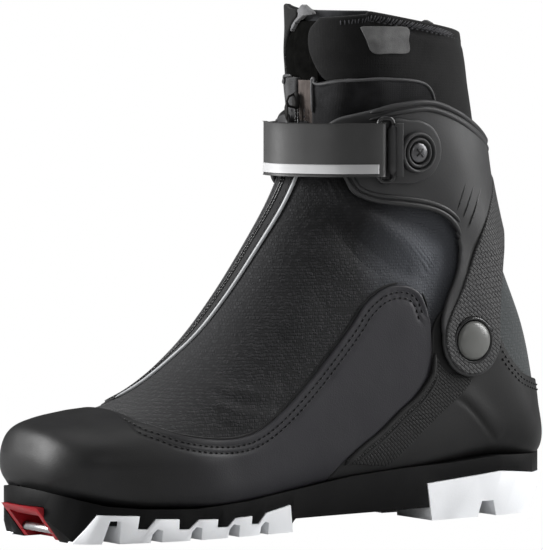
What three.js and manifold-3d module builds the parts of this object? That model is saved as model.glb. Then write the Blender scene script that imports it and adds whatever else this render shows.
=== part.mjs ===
// A left cross-country skating boot, built as its separate pieces. Millimetres, +Z up, toe to -X,
// lateral (outer) side to -Y. Every soft or moulded layer is a shell cut from one lasted form: a row of
// sections that fan from the toe tip, round the heel, up to the collar.
import * as THREE from 'three';
import { mergeVertices } from 'three/addons/utils/BufferGeometryUtils.js';
import Module from 'manifold-3d';

const wasm = await Module();
wasm.setup();

// ---- driving dimensions -------------------------------------------------------------------------------
// Sections: top x, z / bottom x, z / centre y / lateral and medial half width / height share of the
// widest point / exponents of the upper and the lower curve.
const SECTIONS = [
  [-144, 27, -142, 25.5, 6, 2.5, 2.5, 0.5, 2, 2],
  [-146, 34, -139, 24, 6, 22, 15, 0.5, 2, 2.4],
  [-146, 43, -132, 22.5, 6, 33, 22, 0.48, 2, 3],
  [-142, 52.5, -121, 20.4, 6, 42, 28.5, 0.44, 2, 3.6],
  [-131, 56.5, -107, 18.7, 5, 47, 34.5, 0.42, 2.1, 4],
  [-114, 59, -90, 18, 4, 50, 39.5, 0.39, 2.2, 4.4],
  [-95, 61.5, -66, 18, 2, 51, 44, 0.36, 2.2, 4.6],
  [-73, 71.2, -44, 19.5, 1, 48, 45, 0.33, 2.1, 4.6],
  [-52, 89, -20, 22.7, 0, 45, 43, 0.3, 2, 4.6],
  [-33, 112, 10, 26.5, -1, 42, 40, 0.3, 2, 4.4],
  [-15, 138, 52, 29.4, -2, 39, 37, 0.31, 2.1, 4],
  [0, 162, 104, 31.8, -2, 37, 35, 0.33, 2.2, 3.6],
  [9, 182, 144.5, 31.4, -1, 36, 34, 0.38, 2.3, 3],
  [12, 196, 151, 48, 0, 36, 35, .44, 2.3, 2.3],
  [12, 208, 145, 84, 0, 35, 34, .48, 2.3, 2.2],
  [12, 220, 129, 122, 0, 36, 35, .50, 2.3, 2.2],
  [11, 234, 117, 165, 0, 36, 35, .50, 2.3, 2.2],
  [12, 246, 110, 205, 0, 35, 34, .50, 2.3, 2.2],
  [12, 256, 103.5, 240, 0, 34, 33, .50, 2.3, 2.2],
];
const TOP_SECTION = SECTIONS.length - 1;
const ROW_STEP = 1; // sections between two rows of the mesh
const ROUND = 16; // points round each section

// Layers, as distances outside (+) or inside (-) the form.
const GAITER = [-1.3, 0];
const NEOPRENE = [-3.4, 0];
const STIFFENER = [-5.4, -1.9];
const EYESTAY = [-5.5, -4.9];
const LACE = { depth: -3.5, r: 0.7 };
const GUSSET = [-1.4, -0.1];
const COLLAR_FOAM = [-5.4, -3.7];
const LINING = [-7.6, -5.7];
const TONGUE = [-9.8, -7.9];
const FOOTBED = [-11, -7.9];
const RAND = [0.3, 1.8];
const CUFF = [3.2, 5.2];
const SPINE = [5.5, 6.1];
const GAP = 0.3; // left between pieces that touch

// The cuff turns on two rivets, and the soft upper is split along rays from that pivot.
const PIVOT = [89, 89]; // x, z
const FRONT_RAYS = [137, 154.5]; // degrees from +X: cuff side, foot side
const REAR_RAYS = [12, 18]; // foot side, cuff side
const PIVOT_CLEARANCE = 8; // radius cut out of the soft layers
const RIVET_SHANK = 4;
const RIVET_HEAD = 10.5;
const BUSH_RADIUS = 6.2;

// Sole
const ARCH_HEIGHT = 6.5;
const CORE_HEIGHT = 8; // underside of the sole above the white treads
const LIP = 3.4; // thickness of the tread's side lip
const CHANNEL = 7.5; // half width of the guide channel
const PIN = { x: -137, z: 5.5, r: 2, half: 14.4 }; // binding pin
const LUG_GAPS = [[-103, -97], [-82, -75.5], [-60, -53], [-40.5, -35]];
const FRONT_GAP = [[-126.5, -2], [-122, 11], [-117, 11], [-118, -2]];

// Strap, a flat band round the front of the shaft
const STRAP_Z = [171.5, 198];
const STRAP_PATH = [[34, -42.4], [26, -39.3], [14, -31.8], [5, -21], [-1, -10], [-3, -1], [-1.5, 7],
  [2, 13.8], [7, 20.2], [13.5, 27.5], [24, 34.8], [36, 39.9], [48, 42.8], [64, 44.6]];
const RING = { x: 38.3, y: -39.9, z: 184.5, half: 3.7, tall: 16.5, bar: 1.05, turn: -13 };
const WRAP = [1.6, 3.4]; // radii of the strap's fold round the ring's front bar
const SCREW = { x: 55, z: 183, r: 2.9, head: 6 };
const SCREW_HOLE = 3.3;
const PIVOT_FACE = { lateral: 43.4, medial: 39.2 }; // |y| just outside the cuff at the pivot
const SCREW_FACE = { lateral: 43.5, medial: 44 }; // |y| under each anchor screw's head
const NUT = { r: 6, thick: 1.4, lateral: 36.3, medial: 35.4 }; // |y| of each nut's inner face

// Origin at the middle of the overall box, on the ground.
const ORIGIN = [2.9, -1];

const MATERIALS = {
  softshell: [0x2b2b2e, 0.9, 0],
  neoprene: [0x3a3a3d, 0.8, 0],
  felt: [0x4a4a4e, 0.95, 0],
  lining: [0x55565c, 0.95, 0],
  tape: [0x222224, 0.9, 0],
  lace: [0xb0b0b0, 0.9, 0],
  shell: [0x45464a, 0.45, 0],
  rand: [0x3b3c42, 0.55, 0],
  sole: [0x242426, 0.7, 0],
  tread: [0xe6e8ec, 0.6, 0],
  insert: [0xc8242e, 0.5, 0],
  board: [0xc9b48c, 0.9, 0],
  foam: [0x3f4146, 0.95, 0],
  strap: [0x56575b, 0.55, 0],
  white: [0xf0f0f2, 0.5, 0],
  black: [0x151516, 0.35, 0],
  steel: [0xb9bcc0, 0.3, 1],
  rivet: [0xa9aaa8, 0.35, 0.6],
  silver: [0xc8cacd, 0.5, 0.2],
};

// ---- the lasted form ----------------------------------------------------------------------------------
function catmullRom(t) {
  const i = Math.min(Math.floor(t), TOP_SECTION - 1);
  const f = t - i;
  const at = (k) => {
    if (k < 0) return SECTIONS[0].map((v, j) => 2 * v - SECTIONS[1][j]);
    if (k <= TOP_SECTION) return SECTIONS[k];
    return SECTIONS[TOP_SECTION].map((v, j) => 2 * v - SECTIONS[TOP_SECTION - 1][j]);
  };
  const [a, b, c, d] = [at(i - 1), at(i), at(i + 1), at(i + 2)];
  return b.map((v, j) => 0.5 * (2 * v + (c[j] - a[j]) * f + (2 * a[j] - 5 * v + 4 * c[j] - d[j]) * f * f
    + (3 * v - a[j] - 3 * c[j] + d[j]) * f * f * f));
}

// A point of the form: t picks the section, phi runs from its bottom (0) by the lateral side to its top (pi).
function formPoint(t, phi) {
  const [tx, tz, bx, bz, y0, wl, wm, k, nTop, nBottom] = catmullRom(t);
  const c = Math.cos(phi);
  const s = Math.sin(phi);
  const n = c >= 0 ? nBottom : nTop;
  const height = Math.hypot(tx - bx, tz - bz);
  const along = Math.abs(c) ** (2 / n);
  const u = c >= 0 ? k * height * (1 - along) : height * (k + (1 - k) * along);
  const y = y0 - Math.sign(s) * (s > 0 ? wl : wm) * Math.abs(s) ** (2 / n);
  return new THREE.Vector3(bx + (tx - bx) * u / height, y, bz + (tz - bz) * u / height);
}

function formNormal(t, phi) {
  const step = 0.02;
  const dt = formPoint(Math.min(t + step, TOP_SECTION), phi).sub(formPoint(Math.max(t - step, 0), phi));
  const dp = formPoint(t, phi + step).sub(formPoint(t, phi - step));
  return dt.cross(dp).normalize();
}

const onForm = (t, phi, off) => formPoint(t, phi).addScaledVector(formNormal(t, phi), off);

// Rows start later on an inner layer, whose toe would otherwise fold over itself.
function formRows(off) {
  const rows = [];
  const first = off < 0 ? Math.min(2.25, -off * 0.22) : 0;
  if (first > 0) rows.push(first);
  for (let t = 0; t < TOP_SECTION + 0.01; t += ROW_STEP) if (t > first + 0.2 || t === first) rows.push(t);
  return rows;
}

function closedRings(rings) {
  const points = rings.flat();
  const n = rings[0].length;
  const index = [];
  for (let i = 0; i + 1 < rings.length; i++) {
    for (let j = 0; j < n; j++) {
      const [a, b] = [i * n + j, i * n + (j + 1) % n];
      index.push(a, a + n, b, b, a + n, b + n);
    }
  }
  for (const [start, flip] of [[0, false], [(rings.length - 1) * n, true]]) {
    const hub = points.length;
    const middle = new THREE.Vector3();
    for (let j = 0; j < n; j++) middle.addScaledVector(points[start + j], 1 / n);
    points.push(middle);
    for (let j = 0; j < n; j++) {
      const [a, b] = [start + j, start + (j + 1) % n];
      index.push(hub, flip ? b : a, flip ? a : b);
    }
  }
  return solidFrom(points, index);
}

function solidFrom(points, index) {
  const verts = new Float32Array(points.flatMap((p) => [p.x, p.y, p.z]));
  const meshOf = (triVerts) => new wasm.Mesh({ numProp: 3, vertProperties: verts, triVerts });
  const build = (tri) => new wasm.Manifold(meshOf(tri));
  const solid = build(new Uint32Array(index));
  if (solid.volume() > 0) return solid;
  return build(new Uint32Array(index.map((_, i) => index[3 * Math.floor(i / 3) + (2 - i % 3)])));
}

const formCache = new Map();
function form(off, rise = 0) {
  const key = `${off}/${rise}`;
  if (!formCache.has(key)) {
    const angles = Array.from({ length: ROUND }, (_, j) => 2 * Math.PI * j / ROUND);
    const ring = (t) => angles.map((phi) => onForm(t, phi, off));
    const rings = formRows(off).map(ring);
    if (rise) rings.push(rings.at(-1).map((p) => new THREE.Vector3(p.x, p.y, p.z + rise)));
    formCache.set(key, closedRings(rings));
  }
  return formCache.get(key);
}
const OPEN_TOP = 30; // how far a cutter stands out of the collar
const shell = ([inner, outer]) => form(outer).subtract(form(inner, OPEN_TOP));

// ---- cutting tools ------------------------------------------------------------------------------------
function solid(geometry) {
  const bare = geometry.clone();
  bare.deleteAttribute('normal');
  bare.deleteAttribute('uv');
  const merged = mergeVertices(bare, 1e-4);
  const triVerts = new Uint32Array(merged.index.array);
  const vertProperties = new Float32Array(merged.attributes.position.array);
  return new wasm.Manifold(new wasm.Mesh({ numProp: 3, vertProperties, triVerts }));
}

function geometryOf(piece) {
  const mesh = piece.getMesh();
  const geometry = new THREE.BufferGeometry();
  geometry.setAttribute('position', new THREE.BufferAttribute(new Float32Array(mesh.vertProperties), 3));
  geometry.setIndex(new THREE.BufferAttribute(new Uint32Array(mesh.triVerts), 1));
  geometry.computeVertexNormals();
  return geometry;
}

const shapeOf = (points) => new THREE.Shape(points.map(([a, b]) => new THREE.Vector2(a, b)));

// A side-view outline (x, z) carried across the boot from y0 to y1.
function across(points, y0 = -80, y1 = 80) {
  const geometry = new THREE.ExtrudeGeometry(shapeOf(points), { depth: y1 - y0, bevelEnabled: false });
  geometry.rotateX(Math.PI / 2);
  geometry.translate(0, y1, 0);
  return solid(geometry);
}

// A plan outline (x, y) carried from z0 to z1.
function upright(points, z0, z1) {
  const geometry = new THREE.ExtrudeGeometry(shapeOf(points), { depth: z1 - z0, bevelEnabled: false });
  geometry.translate(0, 0, z0);
  return solid(geometry);
}

const block = (x0, x1, y0, y1, z0, z1) => upright([[x0, y0], [x1, y0], [x1, y1], [x0, y1]], z0, z1);
const LATERAL = [-80, -2];
const MEDIAL = [2, 80];

// A rod along Y.
function rod(x, z, r, y0, y1, sides = 20) {
  const geometry = new THREE.CylinderGeometry(r, r, y1 - y0, sides);
  geometry.translate(x, (y0 + y1) / 2, z);
  return solid(geometry);
}

function smooth(points, per, closed) {
  const curve = new THREE.CatmullRomCurve3(points.map(([a, b]) => new THREE.Vector3(a, b, 0)), closed);
  const list = curve.getPoints(per * (points.length - (closed ? 0 : 1)));
  if (closed) list.pop();
  return list.map((p) => [p.x, p.y]);
}

// A line of points moved sideways by d, to the right of the way along it, with mitred corners.
function beside(points, d, closed = false) {
  const n = points.length;
  const normal = (i) => {
    const [a, b] = [points[i], points[(i + 1) % n]];
    const l = Math.hypot(b[0] - a[0], b[1] - a[1]);
    return [(b[1] - a[1]) / l, (a[0] - b[0]) / l];
  };
  return points.map(([x, y], i) => {
    const [ax, ay] = normal(closed ? (i + n - 1) % n : Math.max(i - 1, 0));
    const [bx, by] = normal(closed ? i : Math.min(i, n - 2));
    const mitre = d / (1 + ax * bx + ay * by);
    return [x + mitre * (ax + bx), y + mitre * (ay + by)];
  });
}
const strip = (points, from, to) => [...beside(points, from), ...beside(points, to).reverse()];

const ray = (degrees, length = 320) => {
  const a = degrees * Math.PI / 180;
  return [PIVOT[0] + length * Math.cos(a), PIVOT[1] + length * Math.sin(a)];
};
const pivotHole = (r, y0 = -80, y1 = 80) => rod(PIVOT[0], PIVOT[1], r, y0, y1, 16);
const footSide = across([PIVOT, ray(REAR_RAYS[0]), [400, -60], [-300, -60], ray(FRONT_RAYS[1])]);
const cuffSide = across([PIVOT, ray(FRONT_RAYS[0]), [-300, 400], [400, 400], ray(REAR_RAYS[1])]);
const soft = (layer, region) => shell(layer).intersect(region).subtract(pivotHole(PIVOT_CLEARANCE));

// ---- outlines -----------------------------------------------------------------------------------------
const FEATHER = [[-155, 27.5], [-148, 26], [-143, 24], [-134, 21], [-123, 18], [-104, 16], [-77, 15],
  [-46, 17], [-14, 21], [18, 25], [50, 27], [80, 28], [112, 30], [139, 29], [165, 29]];
const above = (line, rise) => [...line.map(([x, z]) => [x, z + rise]), [180, 300], [-180, 300]];
const below = (line, rise) => [...line.map(([x, z]) => [x, z + rise]), [180, -40], [-180, -40]];
const BOARD_TOP = [[-180, 27], [-100, 24.5], [-46, 25.5], [0, 31], [50, 35], [180, 36]];
const FOOTBED_TOP = [[-180, 35], [-100, 32.5], [-46, 33.5], [0, 39], [50, 44], [180, 46]];

const LIP_LINE = [[2, 22], [6, 29], [18, 38], [33, 47], [45, 56], [54, 62], [61, 69], [65, 76], [66, 84]];
const RAND_TOP = [[-103, 90], [-103, 63], [-100, 57], [-94, 54], [-83, 50], [-67, 47.5], [-52, 47.5],
  [-39, 51], [-24, 60], [-8, 73], [8, 88], [19, 99], [27, 108], [37, 115], [47, 117.5], [56, 116], [62, 111],
  [66.3, 98]];
const COUNTER_TOP = [[68, 97], [76, 105], [92, 106], [104, 100], [109, 92], [114, 83], [121, 75], [130, 69],
  [150, 65], [180, 64]];
const CUFF_TOP = [[22, 199], [34, 204], [46, 207], [64, 208], [80, 203], [93, 196], [106, 188], [118, 183],
  [150, 180]];
const CUFF_LOWER = [[24, 170], [27, 163], [35, 159], [48, 157], [62, 155], [72, 152], [79, 147], [82.5, 140],
  [83, 130], [80, 120], [75, 110], [70, 101], [68.5, 93]];
const MEDIAL_WING = [[9, 205], [6, 200], [5, 186], [8, 172], [20, 163]];
const CUFF_REAR = [[106, 91], [107, 103], [109, 116], [112, 130], [121, 143], [150, 152]];
const ARM_RADIUS = 18; // round the rivet
const BAND_TOP = [[-20, 222], [12, 221], [15, 217], [22, 218.5], [40, 219.5], [60, 218], [68, 214], [71, 205],
  [73, 196], [180, 160]];
const SPINE_FRONT = [[118, 176], [106, 160], [99, 148], [93, 136], [88, 125], [82, 112], [76, 102], [74, 96]];
const ZIP_LATERAL = [[26, -8], [3, -8], [-12, -6.5], [-37, -2], [-49, 2], [-58, 7], [-69, 12], [-84, 17]];

function arc(r, from, to, steps) {
  return Array.from({ length: steps + 1 }, (_, i) => {
    const a = (from + (to - from) * i / steps) * Math.PI / 180;
    return [PIVOT[0] + r * Math.cos(a), PIVOT[1] + r * Math.sin(a)];
  });
}

// ---- sole ---------------------------------------------------------------------------------------------
const PLAN = [[-148, 5], [-145, -16], [-138, -28], [-125, -38], [-108, -43.5], [-85, -47], [-62, -47],
  [-35, -44.5], [0, -41], [40, -38], [80, -35.5], [115, -33], [138, -26], [151, -13], [154, 0], [150, 13],
  [137, 23], [113, 28], [78, 30.5], [38, 34], [0, 38], [-35, 42], [-62, 45], [-85, 46], [-108, 44],
  [-124, 40],
  [-137, 31], [-145, 20]];
const planOutline = (off) => beside(smooth(PLAN, 2, true), off, true);
const plan = (off, z0, z1) => upright(planOutline(off), z0, z1);

// The white tread's upper edge is stepped: the black sole fills a notch behind each lug.
const TREAD_SIDE = [[-138, -1], [-127.5, 14], [-108, 13], [-109, 6.8], [-104, 6.4], [-99.7, 11.2],
  [-87.4, 10.6], [-87.6, 5.6], [-82, 5.4], [-76.5, 9.8], [-65.4, 9.4], [-65.8, 5.4], [-59.6, 5.2],
  [-55, 9.2], [-44.6, 9.6],
  [-45, 5.6], [-40.5, 5.4], [-36, 10.4], [-20.5, 13.4], [-19, -1]];
const HEEL_SIDE = [[69, -1], [66, 18.5], [113, 22], [125, 21], [138, 19.5], [160, 19], [148, 15], [138, 7],
  [131, -1]];
const HEEL_NOTCH = [[97, -2], [102.5, 12.5], [107, 12.5], [110.5, -2]];
const ENVELOPE_OUT = 0.4; // the treads stand this far out of the black sole

function treadEnvelope(side, grow) {
  const core = plan(-LIP + ENVELOPE_OUT - grow, CORE_HEIGHT + grow, 60);
  const half = 25 + GAP - grow;
  const toeBlock = block(-160, -122 + GAP - grow, -half, half, -5, 60);
  const reach = plan(ENVELOPE_OUT + 2 * grow, -2, 60);
  const outer = across(grow ? beside(side, -grow, true) : side).intersect(reach);
  return outer.subtract(core).subtract(toeBlock);
}

const lugGap = ([x0, x1]) => across([[x0, -2], [x0 + 1.4, 4], [x0 + 4, 6.4], [x1 + 0.8, 5.6], [x1, -2]]);

function forefootTread(y0, y1) {
  let tread = treadEnvelope(TREAD_SIDE, 0).intersect(block(-150, 0, y0, y1, 0, 60));
  for (const gap of LUG_GAPS) tread = tread.subtract(lugGap(gap));
  return tread.subtract(across(FRONT_GAP));
}

function heelTread() {
  const notch = across(HEEL_NOTCH).intersect(plan(2, -2, CORE_HEIGHT - GAP));
  const groove = block(60, 140, -CHANNEL + 1, CHANNEL - 1, -2, 5);
  const ground = block(60, 160, -80, 80, 0, 60);
  return treadEnvelope(HEEL_SIDE, 0).intersect(ground).subtract(notch).subtract(groove);
}

// The binding closes on the pin in a notch between the insert's two cheeks.
const INSERT_SIDE = [[-149, 17], [-146, 17], [-124.5, 14.5], [-124.5, 0.6], [-136, 0.6]];
const INSERT_HALF = 16;
const NOTCH_SIDE = [[-160, 20], [-160, -5], [-129.5, -5], [-129.5, 10.5], [-142, 12]];
const NOTCH_HALF = 12.4;
function toeInsert(grow) {
  const side = grow ? beside(INSERT_SIDE, -grow, true) : INSERT_SIDE;
  const body = across(side, -INSERT_HALF - grow, INSERT_HALF + grow);
  if (grow) return body;
  const notch = across(NOTCH_SIDE, -NOTCH_HALF, NOTCH_HALF);
  return body.subtract(notch).subtract(rod(PIN.x, PIN.z, PIN.r + GAP, -PIN.half - GAP, PIN.half + GAP, 16));
}

function outsole() {
  const under = [[150, ARCH_HEIGHT + 8], [126, ARCH_HEIGHT], [-17, ARCH_HEIGHT], [-22, 1.5], [-122, 1.5],
    [-124, 0], [-136, 0], [-148.5, 16]];
  let body = across([...FEATHER, [165, 22], ...under, [-155, 22]]).intersect(plan(0, -2, 60));
  const heelCore = across(HEEL_SIDE).intersect(block(60, 160, -80, 80, CORE_HEIGHT, 60)).intersect(body);
  body = body.subtract(treadEnvelope(TREAD_SIDE, GAP)).subtract(treadEnvelope(HEEL_SIDE, GAP));
  const channel = block(-121, -10, -CHANNEL, CHANNEL, -2, CORE_HEIGHT);
  const rib = block(-118, -24, -3, 3, 2, CORE_HEIGHT + 1);
  const heelInside = heelCore.intersect(plan(-LIP - GAP, CORE_HEIGHT + GAP, 60));
  body = body.subtract(channel.subtract(rib)).add(heelInside);
  const notch = across([[-160, 20], [-160, -5], [-124, -5], [-124, 12]], -16.3, 16.3);
  return body.subtract(toeInsert(GAP)).subtract(notch).subtract(form(RAND[1] + GAP, OPEN_TOP))
    .subtract(shankPocket());
}

// The shank lies in a pocket of the sole that is open to the insole board.
const SHANK_HALF = 9;
const shankSide = (rise) => [[-8, 13], [96, 19], [96, rise + 22], [-8, rise + 16]];
const archShank = () => across(shankSide(0), -SHANK_HALF, SHANK_HALF);
const shankPocket = () => across(beside(shankSide(40), GAP, true), -SHANK_HALF - GAP, SHANK_HALF + GAP);

const bindingPin = () => rod(PIN.x, PIN.z, PIN.r, -PIN.half, PIN.half, 16);

// ---- foot part of the upper ----------------------------------------------------------------------------
const gaiterVamp = () => soft(GAITER, footSide);
const insoleBoard = () => shell(STIFFENER).intersect(across(below(BOARD_TOP, 0)));
const footbed = () => shell(FOOTBED).intersect(across(below(FOOTBED_TOP, 0)));
const throatSide = [[-84, 100], [-84, 52], [-62, 58], [-38, 84], [-14, 116], [14, 150], [14, 200],
  [-84, 200]];
const throat = (half) => across(throatSide, -half, half);
const liningFoot = () => soft(LINING, footSide).subtract(throat(13));
const tongueSide = beside(throatSide, 6, true);
const tongue = () => shell(TONGUE).intersect(footSide).intersect(across(tongueSide, -21, 21));
const toePuff = () => shell(STIFFENER).intersect(across(above(BOARD_TOP, GAP)))
  .intersect(block(-160, -110, -80, 80, 0, 100));

function heelStiffener() {
  const zone = [[84, 20], [72, 60], [84, 84], [112, 92], [180, 92], [180, 20]];
  return shell(STIFFENER).intersect(across(above(BOARD_TOP, GAP))).intersect(across(zone))
    .subtract(pivotHole(11));
}

function eyestay(y0, y1) {
  return shell(EYESTAY).intersect(footSide).intersect(across(throatSide, y0, y1));
}

// The lace zigzags up the throat on top of the eyestays.
function lace() {
  const crossings = 7;
  const [first, last, swing] = [7.3, 9.9, 0.42];
  const points = [];
  for (let i = 0; i <= crossings * 4; i++) {
    const share = i / (crossings * 4);
    const wave = 1 - 4 * Math.abs((share * crossings / 2) % 1 - 0.5);
    points.push(onForm(first + (last - first) * share, Math.PI + swing * wave, LACE.depth));
  }
  const section = new THREE.Shape().absarc(0, 0, LACE.r, 0, 2 * Math.PI);
  const extrudePath = new THREE.CatmullRomCurve3(points);
  return solid(new THREE.ExtrudeGeometry(section, { steps: 56, curveSegments: 3, extrudePath }));
}

const randLowerRight = beside(LIP_LINE, -GAP);
function toeRand() {
  const outline = [...RAND_TOP, ...[...randLowerRight].reverse(), [-10, 17], [-46, 13], [-77, 11], [-104, 12],
    [-134, 17], [-160, 22], [-160, 90]];
  return shell(RAND).intersect(across(outline));
}

function heelCounter() {
  const outline = [...LIP_LINE, ...COUNTER_TOP, [180, 24], [20, 22]];
  return shell(RAND).intersect(across(outline)).subtract(pivotHole(RIVET_SHANK + GAP));
}

function counterBand(side) {
  const outline = [...LIP_LINE.slice(2, 8), [74, 71], [88, 69], [79, 63], [64, 54], [46, 40], [34, 31]];
  return shell([RAND[1] + GAP, RAND[1] + 1]).intersect(across(outline, ...side));
}

function gusset(from, to) {
  return soft(GUSSET, across([PIVOT, ray(from), ray(to)]));
}

// ---- zip ------------------------------------------------------------------------------------------------
function zipPiece(layer, from, to, region) {
  return shell(layer).intersect(upright(strip(ZIP_LATERAL, from, to), 58, 216)).intersect(region);
}
const zipFoot = footSide.intersect(across([[-86, 40], [-86, 90], [40, 240], [40, 130], [-60, 40]]));
const zipCuff = cuffSide.intersect(block(-20, 40, -30, 30, 150, 214));
const TAPE = [GAP, 1.0];
const CHAIN = [1.3, 2.8];

// ---- cuff -----------------------------------------------------------------------------------------------
const cuffArc = arc(ARM_RADIUS, 170, 370, 10);

// The medial wing reaches further round the front, under the strap.
function cuffShell() {
  const rest = [...cuffArc, ...CUFF_REAR, ...[...CUFF_TOP].reverse()];
  const lateral = across([...CUFF_LOWER, ...rest], -80, 0);
  const medial = across([...MEDIAL_WING, ...CUFF_LOWER.slice(2), ...rest], 0, 80);
  const wing = across([[0, 150], [30, 150], [30, 210], [0, 210]], -6, 4);
  const pocketEnds = [-NUT.lateral - NUT.thick - GAP, NUT.medial + NUT.thick + GAP];
  const nutPockets = rod(SCREW.x, SCREW.z, NUT.r + GAP, ...pocketEnds);
  const holes = pivotHole(BUSH_RADIUS + GAP).add(screwHole()).add(nutPockets);
  return shell(CUFF).intersect(lateral.add(medial).subtract(wing)).subtract(holes);
}

function cuffSpine() {
  const outline = [...SPINE_FRONT, ...arc(ARM_RADIUS - 0.5, 165, 365, 10), ...CUFF_REAR.slice(1), [150, 176]];
  return shell(SPINE).intersect(across(outline)).subtract(pivotHole(RIVET_HEAD + 1));
}

const PIPING = [3.2, 6.4];
const cuffTopPiping = () => shell(PIPING).intersect(across(strip(CUFF_TOP, -GAP, -3.2)));
const cuffLowerPiping = (line, side) => shell([3.2, 6]).intersect(across(strip(line, GAP, 3), ...side));

// Parts turned about Y, with their profile as radius and distance from the boot's middle plane.
function turned(profile, side, [x, z], sides = 20) {
  const geometry = new THREE.LatheGeometry(profile.map(([r, y]) => new THREE.Vector2(r, y)), sides);
  geometry.rotateX(side < 0 ? Math.PI : 0);
  geometry.translate(x, 0, z);
  return solid(geometry);
}
const collarProfile = (r0, r1, y0, y1) => [[r0, y0], [r1, y0], [r1, y1], [r0, y1], [r0, y0]];

// Rivet: a domed head outside, a shank through the cuff and the counter.
function pivotRivet(side, face) {
  const dome = [[0, face + 3.4], [4, face + 3.1], [7.5, face + 2.2], [10, face + 0.9],
    [RIVET_HEAD, face + GAP]];
  const shank = [[0, face - 11.3], [RIVET_SHANK, face - 11.3], [RIVET_SHANK, face + GAP]];
  return turned([...shank, ...dome.reverse()], side, PIVOT, 24);
}
const pivotNut = (side, face) => turned(collarProfile(RIVET_SHANK + GAP, 9, face - 11, face - 9.5),
  side, PIVOT);
const pivotBush = (side, face) => turned(collarProfile(RIVET_SHANK + 0.1, BUSH_RADIUS, face - 3, face - 0.6),
  side, PIVOT);

// ---- shaft ----------------------------------------------------------------------------------------------
const BAND_BOTTOM = 196;
const collarSlit = upright([[-10, -9], [-10, 3], [20, -3], [20, -5]], 222, 300);
// The shaft's gaiter is thinner low down, where it slides under the counter and the rand as the cuff turns.
const SLIDING_TOP = 136;
const SLIDING_DEPTH = 0.8;
function shaftGaiter() {
  const thinned = shell([-SLIDING_DEPTH, 2]).intersect(block(-200, 200, -80, 80, 0, SLIDING_TOP));
  return soft(GAITER, cuffSide.intersect(block(-200, 200, -80, 80, 0, BAND_BOTTOM)))
    .subtract(across(above(BAND_TOP, 0))).subtract(thinned);
}
const feltBand = () => shell(NEOPRENE).intersect(across(below(BAND_TOP, 0)))
  .intersect(block(-200, 200, -80, 80, BAND_BOTTOM + GAP, 300));
const collar = () => shell(NEOPRENE).intersect(across(above(BAND_TOP, GAP))).subtract(collarSlit);
const collarFoam = () => shell(COLLAR_FOAM).intersect(block(-200, 200, -80, 80, 205, 300))
  .subtract(collarSlit);
const liningShaft = () => soft(LINING, cuffSide).subtract(collarSlit);
const LABEL_SIDE = [[30, 245], [36, 232], [55, 232], [55, 244]];
const label = () => shell([GAP, 0.9]).intersect(across(LABEL_SIDE, ...LATERAL));

function pullTab() {
  const outline = [[-7, 226], [7, 226], [7, 242], [5, 245.5], [0, 247], [-5, 245.5], [-7, 242]];
  const geometry = new THREE.ExtrudeGeometry(shapeOf(outline), { depth: 2, bevelEnabled: false });
  geometry.rotateX(Math.PI / 2);
  geometry.rotateZ(Math.PI / 2);
  geometry.translate(89.6, 0, 0);
  return solid(geometry);
}

// ---- strap ----------------------------------------------------------------------------------------------
const strapLine = smooth(STRAP_PATH, 2, false);
const strapLayer = (line, from, to, z0, z1) => upright(strip(line, from, to), z0, z1);
const STRAP_BASE = [2.1, 3.5]; // inside the strap's outer face
const STRAP_TAIL = 1.8; // thickness of the tail
const TAIL_POINTS = 19;

const ringFrame = (geometry) => {
  geometry.rotateZ(RING.turn * Math.PI / 180);
  geometry.translate(RING.x, RING.y, RING.z);
  return solid(geometry);
};

function strapRing() {
  const { half, tall, bar } = RING;
  const outer = new THREE.BoxGeometry(2 * (half + bar), 2 * bar, 2 * tall);
  const hole = new THREE.BoxGeometry(2 * (half - bar), 4 * bar, 2 * (tall - 2 * bar));
  return ringFrame(outer).subtract(ringFrame(hole));
}

const ringBar = (side) => {
  const a = RING.turn * Math.PI / 180;
  return [RING.x + side * RING.half * Math.cos(a), RING.y + side * RING.half * Math.sin(a)];
};

function circle(x, y, r, sides = 16) {
  return Array.from({ length: sides }, (_, i) => {
    const a = 2 * Math.PI * i / sides;
    return [x + r * Math.cos(a), y + r * Math.sin(a)];
  });
}

const screwHole = () => rod(SCREW.x, SCREW.z, SCREW_HOLE, -70, 70, 12);

// The tail folds round the ring's front bar and lies back over the base layer.
function strapTail() {
  const [bx, by] = ringBar(-1);
  const band = strapLayer(strapLine.slice(0, TAIL_POINTS), 0, STRAP_TAIL, ...STRAP_Z);
  const keep = block(bx - 10, bx, by, by + 10, 100, 250);
  const wrap = upright(circle(bx, by, WRAP[1]), ...STRAP_Z).subtract(keep);
  return band.add(wrap).subtract(upright(circle(bx, by, WRAP[0]), 100, 250));
}

function strapBase() {
  const line = strapLine.filter(([x, y]) => x < ringBar(-1)[0] - 4.4 || y > 0);
  return strapLayer(line, ...STRAP_BASE, STRAP_Z[0] + 1, STRAP_Z[1] - 1).subtract(screwHole());
}
const STRIPE_Z = [STRAP_Z[0] + 1.5, STRAP_Z[0] + 6.3];
const strapStripe = () => strapLayer(strapLine.slice(1, TAIL_POINTS), -0.9, -GAP, ...STRIPE_Z);

const PLATE_SIDE = [[44.5, 168.5], [56, 168.5], [64, 172], [69, 180], [69, 188], [64, 195], [56, 198.5],
  [44.5, 198.5]];
const anchorPlate = () => shell([CUFF[1] + GAP, CUFF[1] + 2.3]).intersect(across(PLATE_SIDE, ...LATERAL))
  .subtract(screwHole());
const medialWasher = () => turned(collarProfile(SCREW_HOLE, 8, 42.8, 44), 1, [SCREW.x, SCREW.z]);

function anchorScrew(side, face) {
  const { r, head } = SCREW;
  const shank = [[0, face - 8], [r, face - 8], [r, face + GAP]];
  const top = [[head, face + GAP], [head - 0.6, face + 1.5], [head / 2, face + 2.2], [0, face + 2.3]];
  return turned([...shank, ...top], side, [SCREW.x, SCREW.z], 16);
}
const anchorNut = (side, back) => turned(collarProfile(SCREW_HOLE, NUT.r, back, back + NUT.thick), side,
  [SCREW.x, SCREW.z], 16);

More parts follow.
